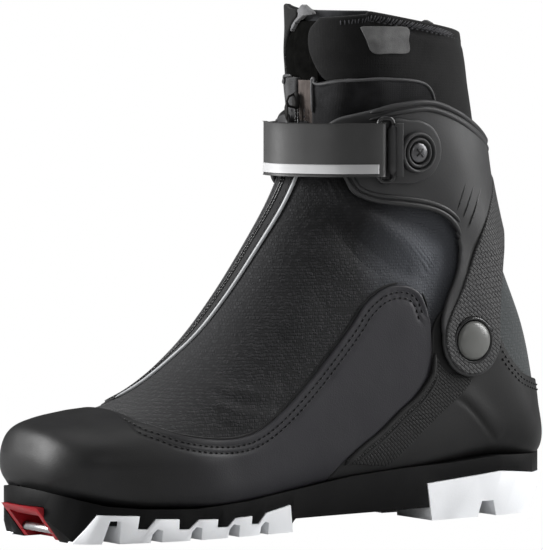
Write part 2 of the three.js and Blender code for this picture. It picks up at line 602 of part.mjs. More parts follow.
// ---- zip slider -----------------------------------------------------------------------------------------
const SLIDER_SIDE = [[5.7, 205], [7, 203], [8.8, 203], [8.8, 213.6], [6.6, 213.6], [5.7, 212]];
const PULL_SIDE = [[4, 199], [5.2, 199], [5.3, 207.9], [5.1, 208.4], [4.6, 208.6], [4.1, 208.4],
  [3.9, 207.9]];
const zipSlider = () => across(SLIDER_SIDE, -6, 2);
const zipPull = () => across(PULL_SIDE, -4.5, 0.5);

// ---- the assembly ---------------------------------------------------------------------------------------
const group = new THREE.Group();
function add(name, finish, piece) {
  const [color, roughness, metalness] = MATERIALS[finish];
  const material = new THREE.MeshStandardMaterial({ color, roughness, metalness });
  const mesh = new THREE.Mesh(geometryOf(piece), material);
  mesh.name = name;
  group.add(mesh);
}


add('outsole', 'sole', outsole());
add('toe_binding_insert', 'insert', toeInsert(0));
add('binding_pin', 'steel', bindingPin());
add('forefoot_tread_lateral', 'tread', forefootTread(-80, -CHANNEL));
add('forefoot_tread_medial', 'tread', forefootTread(CHANNEL, 80));
add('heel_tread', 'tread', heelTread());
add('arch_shank', 'steel', archShank());
add('insole_board', 'board', insoleBoard());
add('footbed', 'foam', footbed());
add('toe_puff', 'board', toePuff());
add('heel_stiffener', 'board', heelStiffener());
add('toe_rand', 'rand', toeRand());
add('gaiter_vamp', 'softshell', gaiterVamp());
add('lining_foot', 'lining', liningFoot());
add('tongue', 'foam', tongue());
add('eyestay_lateral', 'tape', eyestay(-25, -8));
add('eyestay_medial', 'tape', eyestay(8, 25));
add('lace', 'lace', lace());
add('heel_counter', 'shell', heelCounter());
add('counter_band_lateral', 'shell', counterBand(LATERAL));
add('counter_band_medial', 'shell', counterBand(MEDIAL));
add('gusset_front', 'softshell', gusset(FRONT_RAYS[0] + 0.3, FRONT_RAYS[1] - 0.3));
add('gusset_rear', 'softshell', gusset(REAR_RAYS[0] + 0.3, REAR_RAYS[1] - 0.3));
add('zip_tape_foot', 'tape', zipPiece(TAPE, 0, 12, zipFoot));
add('zip_chain_foot', 'black', zipPiece(CHAIN, 4.2, 7.8, zipFoot));
add('zip_piping', 'silver', zipPiece([GAP, 1.6], -2.4, -GAP, zipFoot));
add('zip_tape_shaft', 'tape', zipPiece(TAPE, 0, 12, zipCuff));
add('zip_chain_shaft', 'black', zipPiece(CHAIN, 4.2, 7.8, zipCuff));
add('cuff_shell', 'shell', cuffShell());
add('cuff_spine', 'shell', cuffSpine());
add('cuff_top_piping', 'tape', cuffTopPiping());
add('cuff_lower_piping_lateral', 'tape', cuffLowerPiping(CUFF_LOWER.slice(1, 11), LATERAL));
const MEDIAL_PIPING = [MEDIAL_WING.at(-1), ...CUFF_LOWER.slice(2, 11)];
add('cuff_lower_piping_medial', 'tape', cuffLowerPiping(MEDIAL_PIPING, MEDIAL));
for (const [name, side] of [['lateral', -1], ['medial', 1]]) {
  add(`pivot_rivet_${name}`, 'rivet', pivotRivet(side, PIVOT_FACE[name]));
  add(`pivot_nut_${name}`, 'steel', pivotNut(side, PIVOT_FACE[name]));
  add(`pivot_bush_${name}`, 'black', pivotBush(side, PIVOT_FACE[name]));
}
add('shaft_gaiter', 'softshell', shaftGaiter());
add('felt_band', 'felt', feltBand());
add('collar', 'neoprene', collar());
add('collar_foam', 'foam', collarFoam());
add('lining_shaft', 'lining', liningShaft());
add('label_blank', 'felt', label());
add('pull_tab', 'tape', pullTab());
add('strap_base', 'strap', strapBase());
add('strap_tail', 'strap', strapTail());
add('strap_stripe', 'white', strapStripe());
add('strap_ring', 'black', strapRing());
add('strap_anchor_plate', 'shell', anchorPlate());
add('strap_anchor_screw', 'steel', anchorScrew(-1, SCREW_FACE.lateral));
add('strap_anchor_nut', 'steel', anchorNut(-1, NUT.lateral));
add('strap_medial_washer', 'shell', medialWasher());
add('strap_medial_screw', 'steel', anchorScrew(1, SCREW_FACE.medial));
add('strap_medial_nut', 'steel', anchorNut(1, NUT.medial));
add('zip_slider', 'steel', zipSlider());
add('zip_pull', 'black', zipPull());

group.position.set(-ORIGIN[0], -ORIGIN[1], 0);
export default group;
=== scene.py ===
"""A left cross-country skating boot. Every layer is a sheet cut from one lasted form, in millimetres,
toe to -X and lateral side to -Y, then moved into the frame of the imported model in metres."""

import math

import bpy
import numpy as np
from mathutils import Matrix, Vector


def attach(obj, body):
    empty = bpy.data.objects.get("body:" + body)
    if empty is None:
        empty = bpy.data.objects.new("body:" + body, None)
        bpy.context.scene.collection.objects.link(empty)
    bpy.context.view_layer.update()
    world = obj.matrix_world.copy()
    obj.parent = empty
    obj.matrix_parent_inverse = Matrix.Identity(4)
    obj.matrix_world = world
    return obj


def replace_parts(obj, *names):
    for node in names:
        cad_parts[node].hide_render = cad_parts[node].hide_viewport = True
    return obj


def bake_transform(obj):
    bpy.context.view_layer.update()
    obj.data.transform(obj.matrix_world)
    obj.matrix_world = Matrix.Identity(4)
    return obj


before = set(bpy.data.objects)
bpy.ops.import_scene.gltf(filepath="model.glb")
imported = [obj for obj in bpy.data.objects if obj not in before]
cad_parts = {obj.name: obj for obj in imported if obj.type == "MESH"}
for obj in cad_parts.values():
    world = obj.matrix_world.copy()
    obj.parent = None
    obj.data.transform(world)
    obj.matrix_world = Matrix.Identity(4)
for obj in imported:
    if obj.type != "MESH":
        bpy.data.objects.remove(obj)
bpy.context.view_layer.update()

MM = 0.001
ORIGIN = np.array([2.9, -1.0, 0.0])

# ---- the lasted form ----
# Sections: top x, z / bottom x, z / centre y / lateral and medial half width / height share of the
# widest point / exponents of the upper and the lower curve.
SECTIONS = np.array([
    (-144, 27, -142, 25.5, 6, 2.5, 2.5, 0.5, 2, 2),
    (-146, 34, -139, 24, 6, 22, 15, 0.5, 2, 2.4),
    (-146, 43, -132, 22.5, 6, 33, 22, 0.48, 2, 3),
    (-142, 52.5, -121, 20.4, 6, 42, 28.5, 0.44, 2, 3.6),
    (-131, 56.5, -107, 18.7, 5, 47, 34.5, 0.42, 2.1, 4),
    (-114, 59, -90, 18, 4, 50, 39.5, 0.39, 2.2, 4.4),
    (-95, 61.5, -66, 18, 2, 51, 44, 0.36, 2.2, 4.6),
    (-73, 71.2, -44, 19.5, 1, 48, 45, 0.33, 2.1, 4.6),
    (-52, 89, -20, 22.7, 0, 45, 43, 0.3, 2, 4.6),
    (-33, 112, 10, 26.5, -1, 42, 40, 0.3, 2, 4.4),
    (-15, 138, 52, 29.4, -2, 39, 37, 0.31, 2.1, 4),
    (0, 162, 104, 31.8, -2, 37, 35, 0.33, 2.2, 3.6),
    (9, 182, 144.5, 31.4, -1, 36, 34, 0.38, 2.3, 3),
    (12, 196, 151, 48, 0, 36, 35, 0.44, 2.3, 2.3),
    (12, 208, 145, 84, 0, 35, 34, 0.48, 2.3, 2.2),
    (12, 220, 129, 122, 0, 36, 35, 0.5, 2.3, 2.2),
    (11, 234, 117, 165, 0, 36, 35, 0.5, 2.3, 2.2),
    (12, 246, 110, 205, 0, 35, 34, 0.5, 2.3, 2.2),
    (12, 256, 103.5, 240, 0, 34, 33, 0.5, 2.3, 2.2),
])
TOP = len(SECTIONS) - 1
PIVOT = (89.0, 89.0)  # the cuff's hinge in side view
SEAT_REACH = 4
SEAT_SQUARENESS = 5.6
SEAT_HEEL = (145.2, 27)


def seated(rows):
    """The same sections with squarer walls that run on a few mm down to the sole."""
    rows = rows.copy()
    low = slice(1, 13)
    height = np.linalg.norm(rows[low, 0:2] - rows[low, 2:4], axis=1)
    longer = SEAT_REACH / height
    rows[low, 2:4] += (rows[low, 2:4] - rows[low, 0:2]) * longer[:, None]
    rows[low, 7] = (rows[low, 7] + longer) / (1 + longer)
    rows[1:11, 9] = np.maximum(rows[1:11, 9], SEAT_SQUARENESS)
    rows[12, 2:4] = SEAT_HEEL
    return rows


SEATED = seated(SECTIONS)


def catmull(values, t):
    """Rows of values, read at t (in rows) along a Catmull-Rom spline."""
    values = np.asarray(values, float)
    last = len(values) - 1
    padded = np.concatenate([[2 * values[0] - values[1]], values, [2 * values[-1] - values[-2]]])
    t = np.clip(t, 0, last)
    i = np.minimum(t.astype(int), last - 1)
    f = (t - i)[..., None]
    a, b, c, d = (padded[i + k] for k in range(4))
    return 0.5 * (2 * b + (c - a) * f + (2 * a - 5 * b + 4 * c - d) * f ** 2
                  + (3 * b - a - 3 * c + d) * f ** 3)


def unit(vectors):
    """The same directions at length 1."""
    return vectors / (np.linalg.norm(vectors, axis=-1, keepdims=True) + 1e-12)


def run_of(points):
    """The distance of each point along its line."""
    return np.concatenate([[0], np.cumsum(np.linalg.norm(np.diff(points, axis=0), axis=1))])


def form_point(t, phi, rows=SECTIONS):
    """t picks the section, phi runs from its bottom (0) by the lateral side to its top (pi)."""
    q = catmull(rows, np.asarray(t, float))
    tx, tz, bx, bz, y0, wl, wm, k, n_top, n_bottom = np.moveaxis(q, -1, 0)
    c, s = np.cos(phi), np.sin(phi)
    low = c >= 0
    n = np.where(low, n_bottom, n_top)
    along = np.abs(c) ** (2 / n)
    u = np.where(low, k * (1 - c), k + (1 - k) * along)
    wide = np.where(low, np.clip(1 - np.clip(c, 0, 1) ** n, 0, 1) ** (1 / n), np.abs(s) ** (2 / n))
    y = y0 - np.sign(s) * np.where(s > 0, wl, wm) * wide
    return np.stack([bx + (tx - bx) * u, y, bz + (tz - bz) * u], -1)


def form_normal(t, phi, rows=SECTIONS):
    """The form's outward direction."""
    step = 0.03
    along = form_point(np.minimum(t + step, TOP), phi, rows) - form_point(np.maximum(t - step, 0), phi, rows)
    round_ = form_point(t, phi + step, rows) - form_point(t, phi - step, rows)
    return unit(np.cross(along, round_))


# ---- the grid that sheets are cut from ----
def even(parameter, points, count):
    """count values of the parameter, spaced evenly along the points."""
    run = run_of(points)
    return np.interp(np.linspace(0, run[-1], count), run, parameter)


ROWS, COLUMNS = 400, 250


def grid_lines():
    """The grid's values of t and phi, evenly spaced on average over a few lines along and round the form."""
    t = np.linspace(0, TOP, 1200)
    rows = np.mean([even(t, form_point(t, np.full_like(t, a)), ROWS) for a in (math.pi, 2.0, 4.3)], 0)
    phi = np.linspace(0, 2 * math.pi, 1500)
    columns = np.mean([even(phi, form_point(np.full_like(phi, s), phi), COLUMNS + 1) for s in (7, 11, 16)], 0)
    return rows, columns


GRID_T, GRID_PHI = grid_lines()
GT, GP = np.meshgrid(GRID_T, GRID_PHI[:-1], indexing="ij")
GRID = form_point(GT, GP)
GX, GY, GZ = np.moveaxis(GRID, -1, 0)


class Cut:
    """The part of the grid where a field is above zero: parameters of its corners, faces and border loops."""

    def __init__(self, field):
        inside = field > 0
        corners = np.stack([inside, np.roll(inside, -1, 1)], -1)
        corners = np.concatenate([corners[:-1], corners[1:, :, ::-1]], -1)
        full = corners.all(-1)
        part = corners.any(-1) & ~full
        self.keys, self.t, self.phi, self.faces = {}, [], [], []
        self.field = field
        for i, j in np.argwhere(full):
            self.faces.append([self.corner(i, j), self.corner(i + 1, j), self.corner(i + 1, j + 1),
                               self.corner(i, j + 1)])
        for i, j in np.argwhere(part):
            self.part_cell(int(i), int(j))
        self.t, self.phi = np.array(self.t), np.array(self.phi)
        self.loops = self.border()

    def corner(self, i, j):
        j %= COLUMNS
        return self.vertex((i, j), GRID_T[i], GRID_PHI[j])

    def vertex(self, key, t, phi):
        if key not in self.keys:
            self.keys[key] = len(self.t)
            self.t.append(t)
            self.phi.append(phi)
        return self.keys[key]

    def part_cell(self, i, j):
        ring = [(i, j), (i + 1, j), (i + 1, j + 1), (i, j + 1)]
        values = [self.field[a, b % COLUMNS] for a, b in ring]
        face = []
        for k in range(4):
            (a, b), (c, d) = ring[k], ring[(k + 1) % 4]
            va, vb = values[k], values[(k + 1) % 4]
            if va > 0:
                face.append(self.corner(a, b))
            if (va > 0) != (vb > 0):
                f = va / (va - vb)
                key = tuple(sorted([(a, b % COLUMNS), (c, d % COLUMNS)])) + ("cut",)
                t = GRID_T[a] + (GRID_T[c] - GRID_T[a]) * f
                phi = GRID_PHI[b] + (GRID_PHI[d] - GRID_PHI[b]) * f
                face.append(self.vertex(key, t, phi))
        if len(face) > 2:
            self.faces.append(face)

    def border(self):
        """Directed border loops, the sheet on their left seen from outside."""
        edges = {}
        for face in self.faces:
            for a, b in zip(face, face[1:] + face[:1]):
                edges[(a, b)] = 1
        following = {a: b for a, b in edges if (b, a) not in edges}
        loops = []
        while following:
            start, at = next(iter(following.items()))
            loop = [start]
            del following[start]
            while at in following and at != start:
                loop.append(at)
                at = following.pop(at)
            if len(loop) > 8:
                loops.append(loop)
        return loops


def place(t, phi, off=0.0, rows=SECTIONS):
    """Points off the form, in mm."""
    return form_point(t, phi, rows) + form_normal(t, phi, rows) * np.asarray(off)[..., None]


# ---- meshes ----
def mesh_object(name, points, faces, material, uv=None):
    """A mesh from points in mm of the form's own frame."""
    mesh = bpy.data.meshes.new(name)
    mesh.from_pydata(((np.asarray(points) - ORIGIN) * MM).tolist(), [], [list(map(int, f)) for f in faces])
    mesh.polygons.foreach_set("use_smooth", [True] * len(mesh.polygons))
    if uv is not None:
        layer = mesh.uv_layers.new(name="flat")
        index = np.zeros(len(mesh.loops), np.int32)
        mesh.loops.foreach_get("vertex_index", index)
        layer.data.foreach_set("uv", np.asarray(uv, np.float32)[index].ravel())
    mesh.materials.append(material)
    mesh.validate()
    obj = bpy.data.objects.new(name, mesh)
    bpy.context.scene.collection.objects.link(obj)
    return obj


class Pile:
    """Points and faces gathered from several small shapes into one mesh."""

    def __init__(self):
        self.points, self.faces, self.count = [], [], 0

    def add(self, points, faces):
        self.points.append(np.asarray(points, float))
        self.faces.extend([[v + self.count for v in f] for f in faces])
        self.count += len(points)
        return self

    def object(self, name, material):
        return mesh_object(name, np.concatenate(self.points), self.faces, material)


def smooth_loop(points, width):
    """Points of a closed loop averaged over their neighbours."""
    total = points.copy()
    for k in range(1, width + 1):
        total += np.roll(points, k, 0) + np.roll(points, -k, 0)
    return total / (2 * width + 1)


def flat_front(points):
    """Cloth coordinates in m: the way back from the ridge, and up."""
    return np.stack([points[:, 0] + np.abs(points[:, 1]), points[:, 2]], -1) * MM


def flat_rear(points):
    """The same from the heel's end."""
    return np.stack([points[:, 0] - np.abs(points[:, 1]), points[:, 2]], -1) * MM


def rounded_edge(edge, foot, normal, r):
    """Rings of points along a sheet's border: over the rounded outer edge, and one beside the inner edge."""
    tangent = smooth_loop(np.roll(edge, -1, 0) - np.roll(edge, 1, 0), 2)
    out = unit(np.cross(tangent, normal))
    turn = np.linspace(0, math.pi / 2, 5)[1:]
    rings = [edge + out * r * math.sin(a) - normal * (r * (1 - math.cos(a))) for a in turn]
    return rings + [foot + out * r * 0.8]


def sheet(name, field, inner, outer, material, relief=None, rounding=None, uv=flat_front, rows=SECTIONS):
    """A closed shell cut from the form where the field is above zero, its outer edge rounded."""
    cut = Cut(field)
    base = form_point(cut.t, cut.phi, rows)
    normal = form_normal(cut.t, cut.phi, rows)
    n = len(base)
    top = np.full(n, float(outer))
    if relief is not None:
        top = top + relief(base)
    thick = outer - inner
    r = min(thick * 0.6 if rounding is None else rounding, thick * 0.95)
    points = [base + normal * top[:, None], base + normal * inner]
    faces = list(cut.faces) + [[v + n for v in reversed(f)] for f in cut.faces]
    count = 2 * n
    for loop in map(np.array, cut.loops):
        m = len(loop)
        edges = rounded_edge(points[0][loop], points[1][loop], normal[loop], r)
        points.extend(edges)
        rings = [loop] + [count + m * k + np.arange(m) for k in range(len(edges))] + [loop + n]
        count += m * len(edges)
        for a, b in zip(rings[:-1], rings[1:]):
            faces.extend([[a[(k + 1) % m], a[k], b[k], b[(k + 1) % m]] for k in range(m)])
    points = np.concatenate(points)
    return mesh_object(name, points, faces, material, uv(points))


def zero_lines(field):
    """t and phi along each line on which the field is zero."""
    cut = Cut(field)
    return [(cut.t[loop], cut.phi[loop]) for loop in cut.loops]


def stretch(field, keep, spacing=1.0, soften=2, rows=SECTIONS):
    """t and phi, evenly spaced, of the longest run of the field's zero line on which keep(points) holds."""
    best = None
    for t, phi in zero_lines(field):
        points = form_point(t, phi, rows)
        held = keep(points)
        start, run = (0, len(t)) if held.all() else longest_run(held)
        if run < 4:
            continue
        index = (start + np.arange(run)) % len(t)
        line = points[index]
        along = run_of(line)
        if best is None or along[-1] > best[0][-1]:
            best = (along, t[index], np.unwrap(phi[index]))
    along, t, phi = best
    at = np.linspace(0, along[-1], max(4, int(along[-1] / spacing)))
    t, phi = np.interp(at, along, t), np.interp(at, along, phi)
    for _ in range(soften):
        t[1:-1] = (t[:-2] + 2 * t[1:-1] + t[2:]) / 4
        phi[1:-1] = (phi[:-2] + 2 * phi[1:-1] + phi[2:]) / 4
    return t, phi


def longest_run(held):
    """Start and length of the longest run of true values, going round."""
    n = len(held)
    doubled = np.concatenate([held, held])
    best, start = (0, 0), None
    for i, h in enumerate(doubled):
        if h and start is None:
            start = i
        if (not h or i == 2 * n - 1) and start is not None:
            best = max(best, (i - start, start))
            start = None
    return best[1] % n, min(best[0], n)


def skin(count, sides, closed=False):
    """Faces between rings of points, one ring after another, and over the two ends where it isn't closed."""
    faces = []
    for i in range(count if closed else count - 1):
        p, q = i * sides, ((i + 1) % count) * sides
        faces.extend([[p + k, p + (k + 1) % sides, q + (k + 1) % sides, q + k] for k in range(sides)])
    if not closed:
        faces.append(list(range(sides))[::-1])
        faces.append([(count - 1) * sides + k for k in range(sides)])
    return faces


def tube(pile, line, radius, up=(0, 0, 1), closed=False, sides=8, taper=0.0, squash=1.0):
    """A tube along a line. up is the direction of its second axis, one for all points or one for each."""
    line = np.asarray(line, float)
    n = len(line)
    tangent = np.roll(line, -1, 0) - np.roll(line, 1, 0) if closed else np.gradient(line, axis=0)
    tangent = unit(tangent)
    side = unit(np.cross(tangent, up))
    up = np.cross(side, tangent)
    a = np.arange(sides) * 2 * math.pi / sides
    r = np.full(n, float(radius))
    if taper:
        run = np.minimum(np.arange(n), n - 1 - np.arange(n)) / max(taper, 1e-6)
        r *= np.sqrt(1 - (1 - np.clip(run, 0, 1)) ** 2) * 0.98 + 0.02
    ring = (side[:, None] * np.cos(a)[None, :, None] + up[:, None] * np.sin(a)[None, :, None] * squash)
    pile.add((line[:, None] + ring * r[:, None, None]).reshape(-1, 3), skin(n, sides, closed))


def rib(pile, line, off, radius, rows=SECTIONS, **shape):
    """A tube along a line of t and phi on the form."""
    tube(pile, place(*line, off, rows), radius, form_normal(*line, rows), **shape)


def read_at(s, along, values):
    """Rows of values read at the distances s along their line."""
    return np.stack([np.interp(s, along, values[:, c]) for c in range(3)], -1)


def stitches(pile, t, phi, off, length=2.1, gap=1.1, radius=0.36, rows=SECTIONS):
    """Stitches along a line on the form: short rounded threads, half sunk."""
    line = place(t, phi, off, rows)
    normal = form_normal(t, phi, rows)
    along = run_of(line)
    count = int(along[-1] / (length + gap))
    for k in range(count):
        s = np.linspace(k * (length + gap), k * (length + gap) + length, 5)
        points = read_at(s, along, line)
        up = read_at(s, along, normal)
        sag = np.array([-0.55, 0, 0.12, 0, -0.55]) * radius
        tube(pile, points + up * sag[:, None], radius, up, sides=6, taper=1.6)


# ---- outlines ----
def spline(points, per=10):
    """A smooth line through given points."""
    return catmull(points, np.linspace(0, len(points) - 1, per * (len(points) - 1) + 1))


def inside(outline, a, b):
    """Signed distance in mm to a closed outline, above zero inside it."""
    outline = np.asarray(outline, float)
    p = np.stack([a.ravel(), b.ravel()], -1)
    best = np.full(len(p), 1e9)
    within = np.zeros(len(p), bool)
    for q, w in zip(outline, np.roll(outline, -1, 0)):
        edge = w - q
        f = np.clip(((p - q) @ edge) / max(edge @ edge, 1e-12), 0, 1)
        best = np.minimum(best, np.linalg.norm(p - q - f[:, None] * edge, axis=1))
        crosses = (q[1] > p[:, 1]) != (w[1] > p[:, 1])
        x = q[0] + (p[:, 1] - q[1]) * edge[0] / (edge[1] if abs(edge[1]) > 1e-12 else 1e-12)
        within ^= crosses & (p[:, 0] < x)
    return np.where(within, best, -best).reshape(a.shape)


def chain(*parts):
    """One outline from several lines, end to end."""
    return np.concatenate([np.asarray(p, float) for p in parts])


def arc(radius, start, end):
    """An arc about the cuff's hinge, between two angles in degrees."""
    a = np.radians(np.linspace(start, end, 24))
    return np.stack([PIVOT[0] + radius * np.cos(a), PIVOT[1] + radius * np.sin(a)], -1)


LIP_LINE = spline([(2, 22), (6, 29), (18, 38), (33, 47), (45, 56), (54, 62), (61, 69), (65, 76), (66, 84)])
RAND_TOP = spline([(-104, 70), (-103, 63), (-100, 57), (-94, 54), (-83, 50), (-67, 47.5), (-52, 47.5),
                   (-39, 51), (-24, 60), (-8, 73), (8, 88), (19, 99), (27, 108), (37, 115), (47, 117.5),
                   (56, 116), (62, 111), (66.3, 98)])
COUNTER_TOP = spline([(66.3, 90), (68, 97), (76, 105), (92, 106), (104, 100), (109, 92), (114, 83),
                      (121, 75), (130, 69), (150, 65), (180, 64)])
CUFF_TOP = spline([(18, 196), (24, 201), (34, 204), (46, 207), (64, 208), (80, 203), (93, 196), (106, 188),
                   (118, 183), (150, 180), (180, 180)])
CUFF_LOWER = spline([(18, 190), (21, 178), (24, 170), (27, 163), (35, 159), (48, 157), (62, 155), (72, 152),
                     (79, 147), (82.5, 140), (83, 130), (80, 120), (75, 110), (71.5, 101), (70.5, 94)])
MEDIAL_WING = spline([(9, 205), (6, 200), (5, 186), (8, 172), (20, 163), (35, 159), (48, 157)])
CUFF_REAR = spline([(106.5, 93), (107, 103), (109, 116), (112, 130), (121, 143), (150, 152), (180, 156)])
SPINE_FRONT = spline([(122, 181), (118, 176), (106, 160), (99, 148), (93, 136), (88, 125), (82, 112),
                      (76, 102), (72.5, 95)])
BAND_TOP = spline([(-20, 222), (12, 221), (15, 217), (22, 218.5), (40, 219.5), (60, 218), (68, 214),
                   (71, 205), (73, 190)])
BAND_BOTTOM = 196
LINING_TOP = 252
COLLAR_BOTTOM = 178
TONGUE_HEIGHTS = (210, 249.5)
MEDIAL_FELT_TOP = 218.5
ZIP_TOP = 198
COLLAR_ZIP_TOP = 218
TAPE_HALF = 6.4
FEATHER = spline([(-155, 27.5), (-148, 26), (-143, 24), (-134, 21), (-123, 18), (-104, 16), (-77, 15),
                  (-46, 17), (-14, 21), (18, 25), (50, 27), (80, 28), (112, 30), (139, 29), (165, 29)])
ZIP_PATH = spline([(26, -8), (3, -8), (-12, -6.5), (-37, -2), (-49, 2), (-58, 7), (-69, 12), (-84, 17)])

EDGE = 0.9  # how far a sheet's rounded edge stands beyond the line that it is cut on

RAND_OUTLINE = chain(RAND_TOP, LIP_LINE[::-1], [(-10, 10), (-77, 5), (-160, 10), (-170, 90)])
COUNTER_OUTLINE = chain(LIP_LINE, COUNTER_TOP, [(180, 10), (10, 10)])
BAND_OUTLINE = chain(LIP_LINE[14:], [(74, 74), (92, 70), (83, 62), (68, 52), (50, 38), (39, 30)])
ARM = arc(18, 165, 375)
CUFF_OUTLINE = chain(CUFF_LOWER, ARM, CUFF_REAR, CUFF_TOP[::-1])
CUFF_MEDIAL = chain(MEDIAL_WING, CUFF_LOWER[60:], ARM, CUFF_REAR, CUFF_TOP[::-1])
SPINE_OUTLINE = chain(SPINE_FRONT, arc(17.2, 160, 365), CUFF_REAR, [(180, 181)])


def least(*fields):
    """The part that all the fields share."""
    return np.minimum.reduce(fields)


SEAT_X, _, SEAT_Z = np.moveaxis(form_point(GT, GP, SEATED), -1, 0)
SEAT_FIELD = SEAT_Z - np.interp(SEAT_X, FEATHER[:, 0], FEATHER[:, 1]) - EDGE
RAND_FIELD = np.minimum(inside(RAND_OUTLINE, SEAT_X, SEAT_Z) - EDGE, SEAT_FIELD)
COUNTER_FIELD = np.minimum(inside(COUNTER_OUTLINE, SEAT_X, SEAT_Z) - EDGE, SEAT_FIELD)
CUFF_FIELD = np.where(GY < 0, inside(CUFF_OUTLINE, GX, GZ), inside(CUFF_MEDIAL, GX, GZ)) - EDGE
SPINE_FIELD = inside(SPINE_OUTLINE, GX, GZ) - EDGE


# ---- materials ----
class Look:
    """A procedural material: its shader and short ways to add nodes."""

    def __init__(self, name, rough, metal=0.0, specular=0.5, sheen=0.0):
        self.material = bpy.data.materials.new(name)
        self.material.use_nodes = True
        self.tree = self.material.node_tree
        self.shader = self.tree.nodes["Principled BSDF"]
        self.put("Roughness", rough)
        self.put("Metallic", metal)
        self.put("Specular IOR Level", specular)
        self.put("Sheen Weight", sheen)
        self.put("Sheen Roughness", 0.45)
        self.coords = self.tree.nodes.new("ShaderNodeTexCoord")

    def put(self, name, value):
        self.set(self.shader.inputs[name], value)

    def set(self, socket, value):
        if isinstance(value, bpy.types.NodeSocket):
            self.tree.links.new(value, socket)
        else:
            socket.default_value = value

    def node(self, kind, inputs=(), **settings):
        node = self.tree.nodes.new("ShaderNode" + kind)
        for key, value in settings.items():
            setattr(node, key, value)
        for key, value in dict(inputs).items():
            self.set(node.inputs[key], value)
        return node

    def at(self, scale=(1, 1, 1), turn=(0, 0, 0), cloth=False):
        source = self.coords.outputs["UV" if cloth else "Object"]
        turn = tuple(math.radians(a) for a in turn)
        return self.node("Mapping", {"Vector": source, "Scale": scale, "Rotation": turn}).outputs[0]

    def along_x(self):
        return self.node("SeparateXYZ", {0: self.coords.outputs["Object"]}).outputs[0]

    def noise(self, size, detail=3.0, rough=0.55, **where):
        inputs = {"Vector": self.at(**where), "Scale": size, "Detail": detail, "Roughness": rough}
        return self.node("TexNoise", inputs).outputs["Fac"]

    def cells(self, size, feature="F1", **where):
        inputs = {"Vector": self.at(**where), "Scale": size}
        return self.node("TexVoronoi", inputs, feature=feature).outputs["Distance"]

    def math(self, operation, a, b=0.0, c=0.0):
        return self.node("Math", {0: a, 1: b, 2: c}, operation=operation).outputs[0]

    def range(self, value, low, high, to_low=0.0, to_high=1.0):
        return self.node("MapRange", {0: value, 1: low, 2: high, 3: to_low, 4: to_high}).outputs[0]

    def mix(self, share, a, b):
        a, b = ((*c, 1) if isinstance(c, tuple) else c for c in (a, b))
        inputs = {0: share, 6: a, 7: b}
        return self.node("Mix", inputs, data_type="RGBA").outputs[2]

    def bump(self, height, depth, strength=1.0, under=None):
        inputs = {"Height": height, "Distance": depth, "Strength": strength}
        if under is not None:
            inputs["Normal"] = under
        return self.node("Bump", inputs).outputs[0]

    def paint(self, colour, rough=None, normal=None):
        self.put("Base Color", colour)
        if rough is not None:
            self.put("Roughness", rough)
        if normal is not None:
            self.put("Normal", normal)
        return self.material


def moulded(name, colour, rough=0.5, depth=0.00008, specular=0.5):
    """Moulded plastic or rubber: fine grain, faint mottling and slightly worn patches."""
    look = Look(name, rough, specular=specular)
    mottle = look.noise(22, 4)
    lighter = tuple(c * 1.3 + 0.004 for c in colour)
    paint = look.mix(look.range(mottle, 0.35, 0.7), colour, lighter)
    shine = look.range(look.noise(60, 5), 0.3, 0.75, rough - 0.05, rough + 0.09)
    return look.paint(paint, shine, look.bump(look.noise(900, 2), depth, 0.5))


def softshell_look():
    """Stretch gaiter cloth, embossed with small broken scales, with a painted sheen on its lateral side."""
    look = Look("softshell", 0.78, specular=0.3, sheen=0.12)
    flat = look.at(cloth=True)
    wander = look.node("TexNoise", {"Vector": flat, "Scale": 220.0, "Detail": 2.0}).outputs["Color"]
    shift = look.node("VectorMath", {0: wander, 3: 0.0022}, operation="SCALE").outputs[0]
    bent = look.node("VectorMath", {0: flat, 1: shift}, operation="ADD").outputs[0]
    scales = look.node("TexBrick", {"Vector": bent, "Scale": 1.0, "Mortar Size": 0.00045,
                                    "Mortar Smooth": 1.0, "Brick Width": 0.0026, "Row Height": 0.0016,
                                    "Color1": (1, 1, 1, 1), "Color2": (0.55, 0.55, 0.55, 1),
                                    "Mortar": (0, 0, 0, 1)}).outputs["Color"]
    patchy = look.math("MULTIPLY", scales, look.range(look.noise(420, 2), 0.4, 0.6, 0.25, 1.0))
    paint = look.mix(look.range(look.noise(9, 3), 0.3, 0.7), (0.006, 0.006, 0.0067), (0.0105, 0.0105, 0.012))
    paint = look.mix(look.math("MULTIPLY", patchy, 0.45), paint, (0.021, 0.022, 0.0245))
    x = look.along_x()
    paint = look.mix(look.range(x, 0.094, 0.108), paint, (0.052, 0.058, 0.06))
    # Painted sheen: lighter, bluer colour round a point on the lateral side, fading out over 42 mm, where the
    # big fold catches the light.
    middle = {0: look.coords.outputs["Object"], 1: (0.062, -0.042, 0.13)}
    away = look.node("VectorMath", middle, operation="DISTANCE").outputs["Value"]
    paint = look.mix(look.range(away, 0.006, 0.042, 0.85, 0.0), paint, (0.105, 0.112, 0.128))
    creases = look.bump(look.noise(26, 3, turn=(0, 25, 0), scale=(1, 1, 0.45)), 0.0024, 0.4)
    dents = look.bump(patchy, 0.00035, 0.8, creases)
    weave = look.bump(look.noise(2400, 1), 0.00008, 0.5, dents)
    return look.paint(paint, look.range(patchy, 0, 1, 0.82, 0.66), weave)


def leather_look():
    """Coated quarter leather, near black over the toe and blue grey behind it."""
    look = Look("rand", 0.5, specular=0.32)
    x = look.along_x()
    back = look.range(x, -0.105, -0.035)
    paint = look.mix(back, (0.009, 0.009, 0.0092), (0.0195, 0.0188, 0.0235))
    paint = look.mix(look.range(look.noise(30, 4), 0.4, 0.75, 0, 0.35), paint, (0.028, 0.028, 0.031))
    pores = look.bump(look.cells(1500), 0.00007, 0.5)
    waves = look.bump(look.noise(45, 2), 0.0008, 0.25, pores)
    return look.paint(paint, look.range(look.noise(70, 4), 0.3, 0.7, 0.42, 0.55), waves)


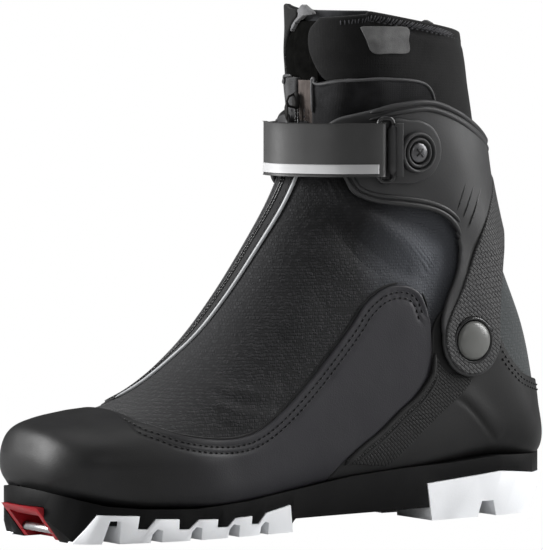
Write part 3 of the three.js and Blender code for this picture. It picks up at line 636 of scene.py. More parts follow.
def lattice_look(name, colour, step=0.0028, depth=0.00045, rough=0.55, turn=38):
    """Moulded plastic with a lattice of short crossed dashes."""
    look = Look(name, rough, specular=0.45)
    flat = look.at(cloth=True, turn=(0, 0, turn))
    bricks = look.node("TexBrick", {"Vector": flat, "Scale": 1.0, "Mortar Size": step * 0.16,
                                    "Mortar Smooth": 0.8, "Brick Width": step * 1.35,
                                    "Row Height": step * 0.62, "Color1": (1, 1, 1, 1),
                                    "Color2": (0.85, 0.85, 0.85, 1), "Mortar": (0, 0, 0, 1)}).outputs["Color"]
    paint = look.mix(bricks, tuple(c * 0.6 for c in colour), colour)
    return look.paint(paint, look.range(bricks, 0, 1, rough + 0.2, rough), look.bump(bricks, depth, 0.9))


def cloth_look(name, colour, rough=0.85, thread=0.0009, fuzz=0.35, contrast=0.4, specular=0.25):
    """Plain woven or knitted cloth: crossed threads, fuzz and uneven dye."""
    look = Look(name, rough, specular=specular, sheen=fuzz)
    around = look.at(scale=(1 / thread,) * 3)
    waves = [look.node("TexWave", {"Vector": around, "Scale": 0.5, "Distortion": 0.6},
                       bands_direction=axis).outputs["Fac"] for axis in ("X", "Z")]
    weave = look.math("MAXIMUM", waves[0], waves[1])
    dark = tuple(c * (1 - contrast) for c in colour)
    light = tuple(c * (1 + contrast) + 0.003 for c in colour)
    paint = look.mix(look.range(look.noise(140, 4), 0.3, 0.7), dark, light)
    paint = look.mix(look.math("MULTIPLY", weave, 0.25), paint, light)
    return look.paint(paint, None, look.bump(look.noise(1800, 2), 0.0002, 0.5,
                                             look.bump(weave, 0.00012, 0.35)))


def metal_look(name, colour, rough=0.3):
    """Metal with fine scratches along Z."""
    look = Look(name, rough, metal=1.0)
    scratched = look.noise(300, 4, scale=(1, 1, 6))
    paint = look.mix(look.range(scratched, 0.3, 0.75), colour, tuple(c * 0.72 for c in colour))
    return look.paint(paint, look.range(scratched, 0.2, 0.8, rough - 0.08, rough + 0.14),
                      look.bump(scratched, 0.00003, 0.4))


SOFTSHELL = softshell_look()
LEATHER = leather_look()
SHELL = moulded("cuff_plastic", (0.031, 0.031, 0.032), 0.5, depth=0.0001, specular=0.45)
COUNTER = moulded("counter_plastic", (0.0095, 0.0095, 0.0098), 0.52, specular=0.3)
LATTICE = lattice_look("lattice", (0.055, 0.055, 0.056))
BAND_LATTICE = lattice_look("band_lattice", (0.0042, 0.0042, 0.0044), 0.0024, 0.0004, 0.66, 38)
NEOPRENE = cloth_look("neoprene", (0.0035, 0.0035, 0.0037), 0.75, 0.0012, 0.07, 0.25, 0.18)
FELT = cloth_look("felt", (0.009, 0.009, 0.01), 0.92, 0.0016, 0.22, 0.6)
PALE_FELT = cloth_look("pale_felt", (0.028, 0.028, 0.029), 0.9, 0.002, 0.25, 0.9)
LINING = cloth_look("lining", (0.032, 0.033, 0.036), 0.95, 0.002, 0.4)
PALE_LINING = cloth_look("pale_lining", (0.13, 0.13, 0.135), 0.95, 0.0016, 0.4)
TAPE = cloth_look("tape", (0.009, 0.009, 0.0095), 0.8, 0.0011, 0.2)
THREAD = cloth_look("thread", (0.035, 0.035, 0.04), 0.7, 0.0004, 0.2)
PIPING = moulded("piping", (0.018, 0.018, 0.019), 0.5)
SILVER = moulded("reflective_piping", (0.42, 0.43, 0.44), 0.38)
BLACK = moulded("black_plastic", (0.006, 0.006, 0.0065), 0.28, specular=0.6)
BURNISHED = moulded("burnished_zip", (0.008, 0.0075, 0.007), 0.7, specular=0.2)
SOLE = moulded("sole_rubber", (0.0013, 0.0013, 0.0015), 0.55, specular=0.12)
TREAD = moulded("tread_rubber", (0.92, 0.935, 0.96), 0.5)
INSERT = moulded("insert_plastic", (0.27, 0.003, 0.009), 0.42, specular=0.4)
STRAP = moulded("strap_rubber", (0.038, 0.038, 0.038), 0.48, specular=0.4)
WHITE = moulded("white_print", (0.46, 0.46, 0.465), 0.4)
RIVET = moulded("rivet_paint", (0.13, 0.132, 0.125), 0.36, specular=0.6)
STEEL = metal_look("steel", (0.6, 0.61, 0.62))
DARK_STEEL = metal_look("dark_steel", (0.16, 0.16, 0.165), 0.35)
# The tongue's near black is partly its own dark cloth and partly painted shade for the recess between the
# collar's front edges.
TONGUE = cloth_look("tongue_cloth_and_shade", (0.0012, 0.0012, 0.001), 0.95, 0.0012, 0.0, 0.4, 0.03)
BROWN = cloth_look("zip_tape_brown", (0.07, 0.056, 0.05), 0.8, 0.001, 0.2)
EDGING = moulded("edging", (0.05, 0.05, 0.052), 0.5)
LABEL = cloth_look("label", (0.125, 0.125, 0.125), 0.8, 0.0008, 0.2)
BOARD = cloth_look("board", (0.35, 0.28, 0.18), 0.9)
FOAM = cloth_look("foam", (0.05, 0.052, 0.056), 0.95)


# ---- the upper ----
def fold(points, line, width, height):
    """A soft ridge, or a groove where height is below zero, along a side-view line. It fades at its ends."""
    line = spline(line, 8)
    p = points[:, [0, 2]]
    gap = np.linalg.norm(p[:, None] - line[None], axis=2)
    nearest = gap.argmin(1)
    fade = np.sin(np.clip(nearest / (len(line) - 1), 0, 1) * math.pi) ** 0.6
    return height * np.exp(-(gap.min(1) / width) ** 2) * fade


LATERAL_FOLDS = [
    ([(17, 170), (27, 158), (40, 148), (54, 138), (68, 126)], 7, 4.2),
    ([(16, 152), (27, 138), (40, 127), (56, 120)], 6, -2.2),
    ([(40, 124), (52, 117), (64, 114)], 4, 1.4),
    ([(-62, 66), (-50, 60), (-38, 58), (-28, 60)], 3.4, 1.3),
    ([(-58, 74), (-46, 69), (-34, 68), (-24, 72)], 3.6, 1.0),
    ([(-60, 58), (-48, 54), (-38, 54)], 2.6, 0.8),
    ([(-20, 96), (-8, 104), (4, 110)], 8, 0.8),
    ([(-2, 140), (10, 132), (24, 128)], 7, 0.7),
]
MEDIAL_FOLDS = [
    ([(20, 170), (32, 154), (48, 142), (62, 136)], 6, 2.0),
    ([(28, 140), (42, 128), (58, 120)], 5, 1.2),
    ([(-60, 66), (-46, 60), (-32, 60)], 3.6, 1.2),
]


def gaiter_relief(base):
    """Folds on both sides, and the tuck under the collar, which the flexed cuff must not press through."""
    relief = -2.6 * np.clip((base[:, 2] - 172) / 6, 0, 1)
    for sign, folds in ((-1, LATERAL_FOLDS), (1, MEDIAL_FOLDS)):
        side = np.clip(sign * base[:, 1] / 18, 0, 1)
        relief = relief + side * sum(fold(base, line, width, height) for line, width, height in folds)
    return relief


def blended(obj, slot, *nodes):
    """A piece that runs from the foot to the shaft, its transform baked in place, that hides the imported
    parts it replaces.
    """
    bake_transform(obj)
    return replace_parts(obj, *nodes)


def riding(obj, body, slot, *nodes):
    """A piece that moves with one body."""
    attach(obj, body)
    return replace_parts(obj, *nodes)


def gaiter():
    """The soft gaiter cloth from the toe up to the felt band."""
    field = np.minimum(BAND_BOTTOM - GZ, (GT - 0.3) * 10)
    obj = sheet("gaiter", field, -1.3, 0.0, SOFTSHELL, gaiter_relief)
    blended(obj, "softshell", "gaiter_vamp", "shaft_gaiter", "gusset_front", "gusset_rear")


def linings():
    """The lining inside the foot and the shaft."""
    field = np.minimum(LINING_TOP - GZ, (GT - 2.4) * 10)
    obj = sheet("lining", field, -7.6, -5.7, LINING, rounding=0.8)
    blended(obj, "lining", "lining_foot", "lining_shaft")


def on_rand_top(p):
    """Whether points lie along the rand's upper edge."""
    return (p[:, 2] > 36 + 0.72 * np.maximum(p[:, 0] + 30, 0)) & (p[:, 0] > -104.5) & (p[:, 0] < 66)


SIDES = (("lateral", -1), ("medial", 1))
RAND_ROWS = (2.6, 5.4)  # how far the rows of stitches lie from the rand's edge


def rand():
    """The leather round the toe and along the quarters, its stitches and the seam along its upper edge."""
    obj = sheet("rand", RAND_FIELD, 0.1, 1.7, LEATHER, rand_relief, rounding=1.1, rows=SEATED)
    blended(obj, "rand", "toe_rand")
    thread = Pile()
    seam = Pile()
    for _, sign in SIDES:
        def along(p):
            return (p[:, 1] * sign > -1) & on_rand_top(p)
        for depth in RAND_ROWS:
            t, phi = stretch(RAND_FIELD - depth, along, rows=SEATED)
            stitches(thread, t, phi, 1.55, radius=0.45, rows=SEATED)
        rib(seam, stretch(RAND_FIELD + 1.6, along), -0.1, 0.7, taper=6)
    blended(thread.object("rand_stitches", TAPE), "tape")
    blended(seam.object("rand_seam", TAPE), "tape")


def rand_relief(base):
    """A shallow channel under each row of stitches."""
    depth = inside(RAND_OUTLINE, base[:, 0], base[:, 2]) - EDGE
    channel = sum(-0.5 * np.exp(-((depth - row) / 0.9) ** 2) for row in RAND_ROWS)
    return np.where(on_rand_top(base), channel, 0)


def counter():
    """The heel counter with a textured band on either side."""
    obj = sheet("heel_counter_shell", COUNTER_FIELD, 0.1, 1.9, COUNTER, counter_relief, rounding=1.2,
                uv=flat_rear, rows=SEATED)
    riding(obj, "lower", "shell", "heel_counter")
    for name, sign in SIDES:
        field = np.where(GY * sign > 0, inside(BAND_OUTLINE, SEAT_X, SEAT_Z) - 0.6, -9)
        lattice = sheet(f"counter_band_{name}_lattice", np.minimum(field, SEAT_FIELD), 1.6, 2.7, BAND_LATTICE,
                        rounding=0.7, uv=flat_rear, rows=SEATED)
        riding(lattice, "lower", "shell", f"counter_band_{name}")


def counter_edges():
    """Two ribs along the counter's front edge, and two rows of stitches along its upper rear one."""
    lip = Pile()
    thread = Pile()
    for _, sign in SIDES:
        for depth, off, radius in ((0.4, 2.2, 1.5), (3.8, 2.4, 0.8)):
            line = stretch(COUNTER_FIELD - depth, lambda p: on_lip(p, sign), rows=SEATED)
            rib(lip, line, off, radius, SEATED, taper=8)
        for depth in (2.2, 4.6):
            t, phi = stretch(COUNTER_FIELD - depth, lambda p: on_counter_rear(p, sign), rows=SEATED)
            stitches(thread, t, phi, 2.0, radius=0.5, rows=SEATED)
    riding(lip.object("counter_lip", COUNTER), "lower", "shell")
    riding(thread.object("counter_stitches", TAPE), "lower", "tape")


def on_lip(p, sign):
    """Whether points lie along the counter's front edge, on the side that sign picks."""
    return (p[:, 1] * sign > 0) & (p[:, 0] < 69) & (p[:, 2] < 84) & (p[:, 2] > 30 + 0.12 * p[:, 0])


def on_counter_rear(p, sign):
    """Whether points lie along the counter's upper edge, behind the rivet."""
    return (p[:, 1] * sign > 4) & (p[:, 0] > 108) & (p[:, 2] > 55)


CREASE = [(79, 61), (87, 57), (100, 46), (111, 37)]


def counter_relief(base):
    """The slanted crease at the heel's side."""
    crease = fold(base, CREASE, 1.5, -0.9) + fold(base, [(x + 2, z + 3) for x, z in CREASE], 5, 0.7)
    return crease * np.clip(np.abs(base[:, 1]) / 10, 0, 1)


# ---- the cuff ----
PIVOT_GAP = np.hypot(GX - PIVOT[0], GZ - PIVOT[1]) - 6.5


def cuff():
    """The hinged cuff and the textured spine that lies over it, both open round the rivets."""
    field = np.minimum(CUFF_FIELD, PIVOT_GAP - EDGE)
    obj = sheet("cuff", field, 3.2, 5.2, SHELL, cuff_relief, rounding=1.2, uv=flat_rear)
    riding(obj, "cuff", "shell", "cuff_shell")
    field = np.minimum(SPINE_FIELD, PIVOT_GAP - 5.6)
    obj = sheet("cuff_lattice", field, 4.8, 6.1, LATTICE, rounding=0.9, uv=flat_rear)
    riding(obj, "cuff", "shell", "cuff_spine")


def cuff_relief(base):
    """The shell swells a little behind the strap's anchor, and its arm is dished towards the rivet."""
    swell = 0.9 * np.exp(-(((base[:, 0] - 96) / 26) ** 2 + ((base[:, 2] - 182) / 16) ** 2))
    dish = -0.6 * np.exp(-(((base[:, 0] - 90) / 9) ** 2 + ((base[:, 2] - 136) / 14) ** 2))
    return swell + dish


GROOVES = [
    [(87.5, 172), (84, 163), (81, 154)],
    [(92.5, 169), (88.5, 160), (84.5, 150)],
    [(97, 166), (92.5, 156), (88, 145)],
]


def engraved():
    """Three slanted grooves on either side of the cuff."""
    grooves = Pile()
    for line in GROOVES:
        for lateral in (True, False):
            rib(grooves, on_side(spline(line, 6), lateral), 5.25, 0.55, taper=4, squash=0.5)
    riding(grooves.object("cuff_engraving", BLACK), "cuff", "shell")


def on_side(line, lateral):
    """t and phi of the form's points whose side view is the line, on one side."""
    half = (GP > 0.05) & (GP < math.pi) if lateral else (GP > math.pi) & (GP < 2 * math.pi - 0.05)
    t, phi = [], []
    for x, z in line:
        gap = np.where(half, (GX - x) ** 2 + (GZ - z) ** 2, 1e9)
        i, j = np.unravel_index(gap.argmin(), gap.shape)
        at = np.array([GT[i, j], GP[i, j]])
        for _ in range(12):
            p = form_point(*at)
            d = 1e-4
            a = (form_point(at[0] + d, at[1]) - p)[[0, 2]] / d
            b = (form_point(at[0], at[1] + d) - p)[[0, 2]] / d
            step = np.linalg.lstsq(np.stack([a, b], 1), np.array([x, z]) - p[[0, 2]], rcond=1e-3)[0]
            at = at + np.clip(step, -0.2, 0.2)
        t.append(at[0])
        phi.append(at[1])
    return np.array(t), np.array(phi)


def cuff_ribs(depths, keep):
    """Piped ribs on the cuff, each at its own depth inside the edge, along the stretch that keep picks."""
    ribs = Pile()
    for depth, radius, sign in depths:
        rib(ribs, stretch(CUFF_FIELD - depth, lambda p: keep(p, sign)), 5.0, radius, taper=8)
    return ribs


def cuff_pipings():
    """Two ribs along the cuff's lower edge on either side, and two along its upper edge."""
    for name, sign in SIDES:
        ribs = cuff_ribs([(0.1, 1.35, sign), (2.9, 1.25, sign)], on_cuff_front)
        riding(ribs.object(f"lower_piping_{name}", PIPING), "cuff", "tape", f"cuff_lower_piping_{name}")
    ribs = cuff_ribs([(0.0, 1.5, -1), (0.0, 1.5, 1), (3.2, 1.4, -1), (3.2, 1.4, 1)], on_cuff_top)
    riding(ribs.object("top_piping", PIPING), "cuff", "tape", "cuff_top_piping")


def on_cuff_front(p, sign):
    """Whether points lie along the cuff's lower edge, in front of the rivet's arm."""
    reach = (p[:, 0] > 24) | (sign > 0) & (p[:, 2] < 166) & (p[:, 0] > 20)
    return (p[:, 1] * sign > 0) & (p[:, 2] > 121) & (p[:, 2] < 176) & (p[:, 0] < 83.5) & reach


def on_cuff_top(p, sign):
    """Whether points lie along the cuff's upper edge."""
    return (p[:, 1] * sign > -0.5) & (p[:, 2] > 179) & (p[:, 0] > 24 - 10 * sign)


# ---- turned parts ----
def turned(pile, profile, centre, side, segments=64):
    """A profile of (radius, height) turned about the line along Y through centre, with heights from y = 0."""
    a = np.arange(segments) * 2 * math.pi / segments
    profile = np.asarray(profile, float)
    around = np.stack([np.cos(a), 0 * a, np.sin(a)], -1)
    points = [np.array([centre[0], side * h, centre[1]]) + r * around for r, h in profile]
    faces = skin(len(profile), segments)
    pile.add(np.concatenate(points), faces if side < 0 else [f[::-1] for f in faces])


def dome(radius, face, height, steps=12):
    """The profile of a dome that stands on a face."""
    a = np.linspace(math.pi / 2, 0.02, steps)
    return [(radius * math.sin(x), face + height * math.cos(x)) for x in a]


def rivets():
    """The two rivets that the cuff turns on, each in a raised ring."""
    for name, side, face in (("lateral", -1, 43.4), ("medial", 1, 39.2)):
        head = Pile()
        turned(head, [(4, face - 11.3), (4, face - 0.5), (9.4, face - 0.5), (9.6, face + 0.6)]
               + dome(9.2, face + 1.0, 2.6), PIVOT, side)
        riding(head.object(f"rivet_{name}", RIVET), "lower", "rivet", f"pivot_rivet_{name}")
        ring = Pile()
        turned(ring, [(9.8, face - 0.9), (11.2, face - 0.9), (11.8, face - 0.2), (11.6, face + 0.5),
                      (10.9, face + 0.8), (10.2, face + 0.4), (9.9, face - 0.3)], PIVOT, side)
        riding(ring.object(f"rivet_ring_{name}", BLACK), "cuff", "black")


# ---- the strap ----
STRAP_PATH = [(34, -42.4), (26, -39.3), (14, -31.8), (5, -21), (-1, -10), (-3, -1), (-1.5, 7), (2, 13.8),
              (7, 20.2), (13.5, 27.5), (24, 34.8), (36, 39.9), (48, 42.8), (64, 44.6)]
STRAP_Z = (171.5, 198)
RING_AT = (38.3, -39.9, 184.5)
RING_TURN = math.radians(-13)
RING_HALF = 3.7
RING_ALONG = (math.cos(RING_TURN), math.sin(RING_TURN))
SCREW = (55.0, 183.0)


def ring_bar(side):
    """Plan place of the ring's front (-1) or rear (1) bar."""
    return RING_AT[0] + side * RING_HALF * RING_ALONG[0], RING_AT[1] + side * RING_HALF * RING_ALONG[1]


def plan_normals(line):
    """Directions across a plan line, to the right of its run."""
    tangent = unit(np.gradient(line, axis=0))
    return np.stack([tangent[:, 1], -tangent[:, 0]], -1)


def quarter(distance, height, start, radius):
    """Points of a quarter turn in a band's section, drawn as (distance, height)."""
    turn = np.linspace(start, start - math.pi / 2, 5)[1:]
    return [(distance + radius * math.sin(a), height + radius * math.cos(a)) for a in turn]


def band(pile, line, outer, inner, z0, z1, r=0.7):
    """A flat band standing on edge along a plan line, its outer edges rounded."""
    line = np.asarray(line, float)
    section = [(outer, z) for z in np.linspace(z0 + r, z1 - r, 7)]
    section += quarter(outer - r, z1 - r, math.pi / 2, r) + [(inner, z1 - 0.1), (inner, z0 + 0.1)]
    section += quarter(outer - r, z0 + r, math.pi, r)[:-1]
    points = []
    for (x, y), (nx, ny) in zip(line, plan_normals(line)):
        points.extend([(x + nx * off, y + ny * off, z) for off, z in section])
    pile.add(points, skin(len(line), len(section)))


def strap():
    """The strap: its tail with the white line outside, and the base layer that it closes on."""
    path = spline(STRAP_PATH, 12)
    tail_end = int(np.argmax(path[:, 1] > 13.8))
    side = outside_sign(path)
    low, high = STRAP_Z
    tail = Pile()
    band(tail, chain(wrap_start(*ring_bar(-1)), path[6:tail_end]), 0.0, side * -1.8, low, high)
    riding(tail.object("strap_outer", STRAP), "strap_tail", "strap", "strap_tail")
    stripe = Pile()
    band(stripe, path[2:tail_end - 1], side * 0.35, side * -0.5, low + 1.6, low + 6.2, 0.3)
    riding(stripe.object("strap_white_line", WHITE), "strap_tail", "white", "strap_stripe")
    base = Pile()
    band(base, path[10:], side * -2.2, side * -3.6, low + 1, high - 1)
    riding(base.object("strap_inner", STRAP), "cuff", "strap", "strap_base")


def outside_sign(path):
    """1 where plan_normals points away from the boot along the strap's path, else -1."""
    middle = len(path) // 2
    return 1 if plan_normals(path)[middle] @ (path[middle] - np.array([40, 0])) > 0 else -1


def wrap_start(bx, by):
    """The tail's fold, from inside the ring's front bar round to the strap's outer face."""
    a = np.radians(np.linspace(60, -95, 14))
    return np.stack([bx + 3.4 * np.cos(a), by + 3.4 * np.sin(a)], -1)


def ring():
    """The strap's ring, a round bar bent to a rectangle with rounded corners."""
    wide, tall, r = RING_HALF - 2.6, 12.9, 2.6
    corners = []
    for cx, cz, start in ((wide, tall, 0), (-wide, tall, 90), (-wide, -tall, 180), (wide, -tall, 270)):
        for a in np.radians(np.linspace(start, start + 90, 8)):
            corners.append((cx + r * math.cos(a), cz + r * math.sin(a)))
    x, y, z = RING_AT
    loop = [(x + u * RING_ALONG[0], y + u * RING_ALONG[1], z + w) for u, w in corners]
    pile = Pile()
    tube(pile, loop, 1.25, (RING_ALONG[1], -RING_ALONG[0], 0), closed=True, sides=12)
    riding(pile.object("ring_loop", BLACK), "strap_ring", "black", "strap_ring")


PLATE_OUTLINE = spline([(44, 168.6), (52, 168.5), (58, 169.2), (64, 172.3), (67.8, 177.6), (69, 183.5),
                        (67.8, 189.4), (64, 194.7), (58, 197.8), (52, 198.5), (44, 198.4), (43.6, 183.5),
                        (44, 168.6)], 5)
SCREW_FACE = 43.5  # how far the lateral screw's washer stands from the boot's middle plane


def anchor():
    """The strap's anchor: a D-shaped plate, and its loop round the ring's rear bar."""
    field = np.where(GY < 0, inside(PLATE_OUTLINE, GX, GZ) - 0.3, -9)
    plate = sheet("anchor_plate", field, 4.6, 7.0, SHELL, rounding=1.1)
    riding(plate, "cuff", "shell", "strap_anchor_plate")
    x, y = ring_bar(1)
    loop = Pile()
    rise = np.linspace(171.0, 198.0, 9)
    tube(loop, [(x, y, z) for z in rise], 2.9, (0, -1, 0), sides=24, taper=0.9)
    flat = [(x + 0.5, y - 2.6), (43.2, -44.0), (45.2, -44.6)]
    band(loop, spline(flat, 5), 0.6, -1.2, 171.2, 197.8, 0.5)
    riding(loop.object("anchor_loop", SHELL), "cuff", "shell")


def anchor_rings():
    """Two raised rings in the plate, round the screw."""
    section = [(-0.9, -1.2), (-0.8, 1.2), (-0.35, 1.75), (0.1, 1.9), (0.55, 1.7), (0.9, 1.0), (1.1, -1.2),
               (-0.9, -1.2)]
    rings = Pile()
    for r in (6.6, 9.2):
        turned(rings, [(r + u, SCREW_FACE + h) for u, h in section], SCREW, -1, 72)
    riding(rings.object("anchor_rings", SHELL), "cuff", "shell")


def screws():
    """A cross-head screw through the anchor's plate, and one through the strap on the medial side."""
    nodes = ("strap_anchor_screw", "strap_medial_screw")
    for (name, side), base, node in zip(SIDES, (SCREW_FACE, 44.0), nodes):
        head = Pile()
        shank = [(2.9, base - 8), (2.9, base + 0.3), (4.9, base + 0.4), (4.9, base + 1.1)]
        turned(head, shank + dome(4.7, base + 1.2, 0.9, 8), SCREW, side, 48)
        riding(head.object(f"screw_{name}", DARK_STEEL), "cuff", "steel", node)
        cross = Pile()
        at = np.array([SCREW[0], side * (base + 2.0), SCREW[1]])
        for turn in (math.radians(40), math.radians(130)):
            d = np.array([math.cos(turn), 0, math.sin(turn)]) * 2.6
            tube(cross, [at - d, at - d / 3, at + d / 3, at + d], 0.62, (0, side, 0), sides=4)
        riding(cross.object(f"screw_cross_{name}", BLACK), "cuff", "black")


# ---- the collar ----
SHAFT_FRONT = GX < 50
# The opening's two edges seen from the front, as (y, z)
LENS_MEDIAL = spline([(-7, 262), (-6, 252.5), (0, 250), (5.5, 246), (11.5, 239), (15.5, 231), (16.5, 223),
                      (10, 216), (-4, 213.5)], 6)
FLAP_EDGE = spline([(-30, 216.4), (-23, 217), (-18, 219), (-15, 222.5), (-12, 228.5), (-9.8, 235.5),
                    (-9.8, 243), (-15, 249), (-22, 262)], 6)
OPENING_OUTLINE = chain(LENS_MEDIAL, [(-8, 213.5), (-30, 212)], FLAP_EDGE)
OPENING = np.where(SHAFT_FRONT, -inside(OPENING_OUTLINE, GY, GZ), 30)
LINING_CORNER = [(-11.5, 251.2), (-3.5, 255.4), (3, 250), (7.5, 241.5), (2, 247), (-4, 250.4)]
BAND_TOP_FIELD = inside(chain(BAND_TOP, [(73, 150), (-40, 150), (-40, 222)]), GX, GZ)
SLIT_MIDDLE = -5.4  # y of the zip's middle, in front of the shaft


def below_top(x, y, z):
    """Distance below the collar's top edge, which dips in front on both sides of the zip."""
    rim = (256 - (x - 12) * 16 / 91.5 - z) * 0.985
    lateral = np.interp(x, [12, 34, 60], [248.4, 250.6, 300])
    medial = np.interp(x, [10, 17, 24], [251.6, 254.6, 300])
    return np.minimum(rim, np.where(y < 0, lateral, medial) - z)


TOP_FIELD = below_top(GX, GY, GZ)


def collar():
    """The padded neoprene above the felt band, open in front."""
    field = least(4 - BAND_TOP_FIELD, GZ - COLLAR_BOTTOM, OPENING, TOP_FIELD)
    obj = sheet("collar_neoprene", field - 0.8, -3.0, 0.0, NEOPRENE, collar_relief, rounding=1.4)
    riding(obj, "cuff", "neoprene", "collar", "collar_foam")


def collar_front():
    """What shows between the collar's front edges: the tongue, dark in itself and painted darker as the shade
    of that recess, the zip's tape and a corner of lining.
    """
    gap = np.where(SHAFT_FRONT, np.minimum(GY + 13.5, 21.5 - GY), -9)
    low, high = TONGUE_HEIGHTS
    field = least(gap, high - GZ, GZ - low, TOP_FIELD - 1.5)
    tongue = sheet("tongue_top", field, -2.9, -1.6, TONGUE, tongue_relief, rounding=0.6)
    riding(tongue, "cuff", "neoprene")
    strip = np.where(SHAFT_FRONT, TAPE_HALF - np.abs(GY - SLIT_MIDDLE), -9)
    field = least(strip, COLLAR_ZIP_TOP - GZ, GZ - BAND_BOTTOM)
    tape = sheet("collar_zip_tape", field, -1.9, -0.5, BROWN, tape_relief, rounding=0.4)
    riding(tape, "cuff", "tape")
    field = np.where(SHAFT_FRONT, inside(LINING_CORNER, GY, GZ), -9)
    corner = sheet("lining_corner", field, -3.8, -0.9, PALE_LINING, rounding=0.4)
    riding(corner, "cuff", "lining")


def collar_relief(base):
    """Slow ripples in the neoprene, and a rolled edge at its top."""
    ripple = 0.5 * np.sin(base[:, 0] * 0.11 + base[:, 2] * 0.07) * np.clip((base[:, 2] - 214) / 12, 0, 1)
    edge = below_top(*base.T)
    return ripple - 0.45 * np.exp(-((edge - 5.5) / 1.3) ** 2) * (base[:, 0] > 34)


def tongue_relief(base):
    """The tongue sinks between the collar's two front edges."""
    return -3.4 * np.exp(-((base[:, 1] + 1) / 7) ** 2) * np.clip((base[:, 2] - 210) / 12, 0, 1)


def tape_relief(base):
    """Ribs along the zip's tape, and the gap where its halves meet."""
    return 0.3 * np.sin(base[:, 1] * 2.4) - 0.9 * np.exp(-((base[:, 1] + 1.2) / 0.8) ** 2)


def overlock():
    """The overlocked seam along the top edge: close slanted threads, and a line of stitches under them."""
    thread = Pile()
    row = Pile()
    for _, sign in SIDES:
        upper = stretch(TOP_FIELD - 0.9, lambda p: on_collar_top(p, sign))
        lower = stretch(TOP_FIELD - 4.2, lambda p: on_collar_top(p, sign))
        slanted_threads(thread, upper, place(*upper, 0.1), place(*lower, 0.05))
        stitches(row, *lower, 0.1, radius=0.3)
    riding(thread.object("collar_overlock", THREAD), "cuff", "tape")
    riding(row.object("collar_stitches", THREAD), "cuff", "tape")


def on_collar_top(p, sign):
    """Whether points lie along the collar's upper edge, behind its front."""
    return (p[:, 1] * sign > -0.5) & (p[:, 2] > 236) & (p[:, 0] > 22)


def slanted_threads(pile, at, top, foot):
    """Short arched threads from one line to another, spaced 1.7 mm along the first."""
    count = int(np.linalg.norm(np.diff(top, axis=0), axis=1).sum() / 1.7)
    picked = np.linspace(0, len(top) - 1, count).astype(int)
    under = np.linspace(0, len(foot) - 1, count).astype(int)
    share = np.linspace(0, 1, 5)[:, None]
    bulge = np.sin(share * math.pi) * 0.35
    for a, b, n in zip(top[picked], foot[under], form_normal(*at)[picked]):
        tube(pile, a + (b - a) * share + n * bulge, 0.34, n, sides=6, taper=1.2)


def felt_band():
    """The band under the collar, open in front where the zip runs, piped along its upper edge."""
    slit = np.where(SHAFT_FRONT, np.abs(GY - SLIT_MIDDLE) - 5.6, 30)
    field = least(BAND_TOP_FIELD, GZ - (BAND_BOTTOM - 3), slit)
    wing = np.where(GX < 26, GY - SLIT_MIDDLE, -9)
    obj = sheet("felt_wrap", np.minimum(field - 0.6, 0.2 - wing), -3.4, 0.9, FELT, felt_relief, rounding=1.2)
    riding(obj, "cuff", "felt", "felt_band")
    medial = least(field - 0.6, wing, MEDIAL_FELT_TOP - GZ)
    obj = sheet("felt_medial", medial, -3.4, 0.9, PALE_FELT, felt_relief, rounding=1.2)
    riding(obj, "cuff", "felt")
    edge = Pile()
    for _, sign in SIDES:
        line = stretch(field - 0.4, lambda p: (p[:, 1] * sign > 2) & (p[:, 2] > 202))
        rib(edge, line, 0.8, 0.75, taper=6)
    riding(edge.object("felt_edge", EDGING), "cuff", "tape")


def felt_relief(base):
    """The felt bulges between the zip and the strap's tail end."""
    near = np.exp(-((base[:, 0] - 30) / 9) ** 2) * np.exp(-((base[:, 2] - 204) / 7) ** 2)
    return 0.6 * np.sin(base[:, 0] * 0.35) * np.clip((60 - base[:, 0]) / 30, 0, 1) - 0.9 * near


def label():
    """The blank label on the collar's lateral side."""
    outline = spline([(30, 245), (33, 238.5), (36, 232), (45, 231.7), (55, 232), (55.2, 238), (55, 244),
                      (43, 244.8), (30, 245)], 4)
    field = np.where(GY < 0, inside(outline, GX, GZ) - 0.3, -9)
    obj = sheet("label", field, -0.2, 1.0, LABEL, rounding=0.4)
    riding(obj, "cuff", "felt", "label_blank")


# ---- the zip ----
ZIP_FRONT = (GP > 1.9) & (GP < 4.4) & (GX < 30)
ZIP_END = -84


def zip_y(x, shift):
    """y of the line that lies shift mm to the medial side of the zip's lateral edge."""
    return np.interp(x, ZIP_PATH[::-1, 0], ZIP_PATH[::-1, 1]) + shift


def zip_line(shift, top=208):
    """t and phi of that line, up to a height."""
    def keep(p):
        near = np.abs(p[:, 1] - zip_y(p[:, 0], shift)) < 0.4
        return near & (p[:, 0] > ZIP_END) & (p[:, 0] < 30) & (p[:, 2] > 55) & (p[:, 2] < top)
    return stretch(np.where(ZIP_FRONT, GY - zip_y(GX, shift), -9.0), keep)


def zipper():
    """The zip's tape, pipings and stitches."""
    field = np.where(ZIP_FRONT & (GX > ZIP_END - 4), TAPE_HALF - np.abs(GY - zip_y(GX, 6)), -9)
    obj = sheet("zip_tape", least(field, ZIP_TOP - GZ, GX - ZIP_END), -0.4, 0.9, TAPE, rounding=0.5)
    blended(obj, "tape", "zip_tape_foot", "zip_tape_shaft")
    zip_teeth()
    for name, shift, radius, look, slot, nodes in (
            ("zip_piping_silver", -1.3, 0.9, SILVER, "silver", ["zip_piping"]),
            ("zip_piping_medial", 12.6, 0.8, PIPING, "tape", [])):
        edge = Pile()
        rib(edge, zip_line(shift, top=186), 0.7, radius, taper=10)
        blended(edge.object(name, look), slot, *nodes)
    thread = Pile()
    for shift in (1.0, 11.0):
        t, phi = zip_line(shift)
        stitches(thread, t, phi, 0.95, radius=0.25)
    blended(thread.object("zip_stitches", THREAD), "tape")


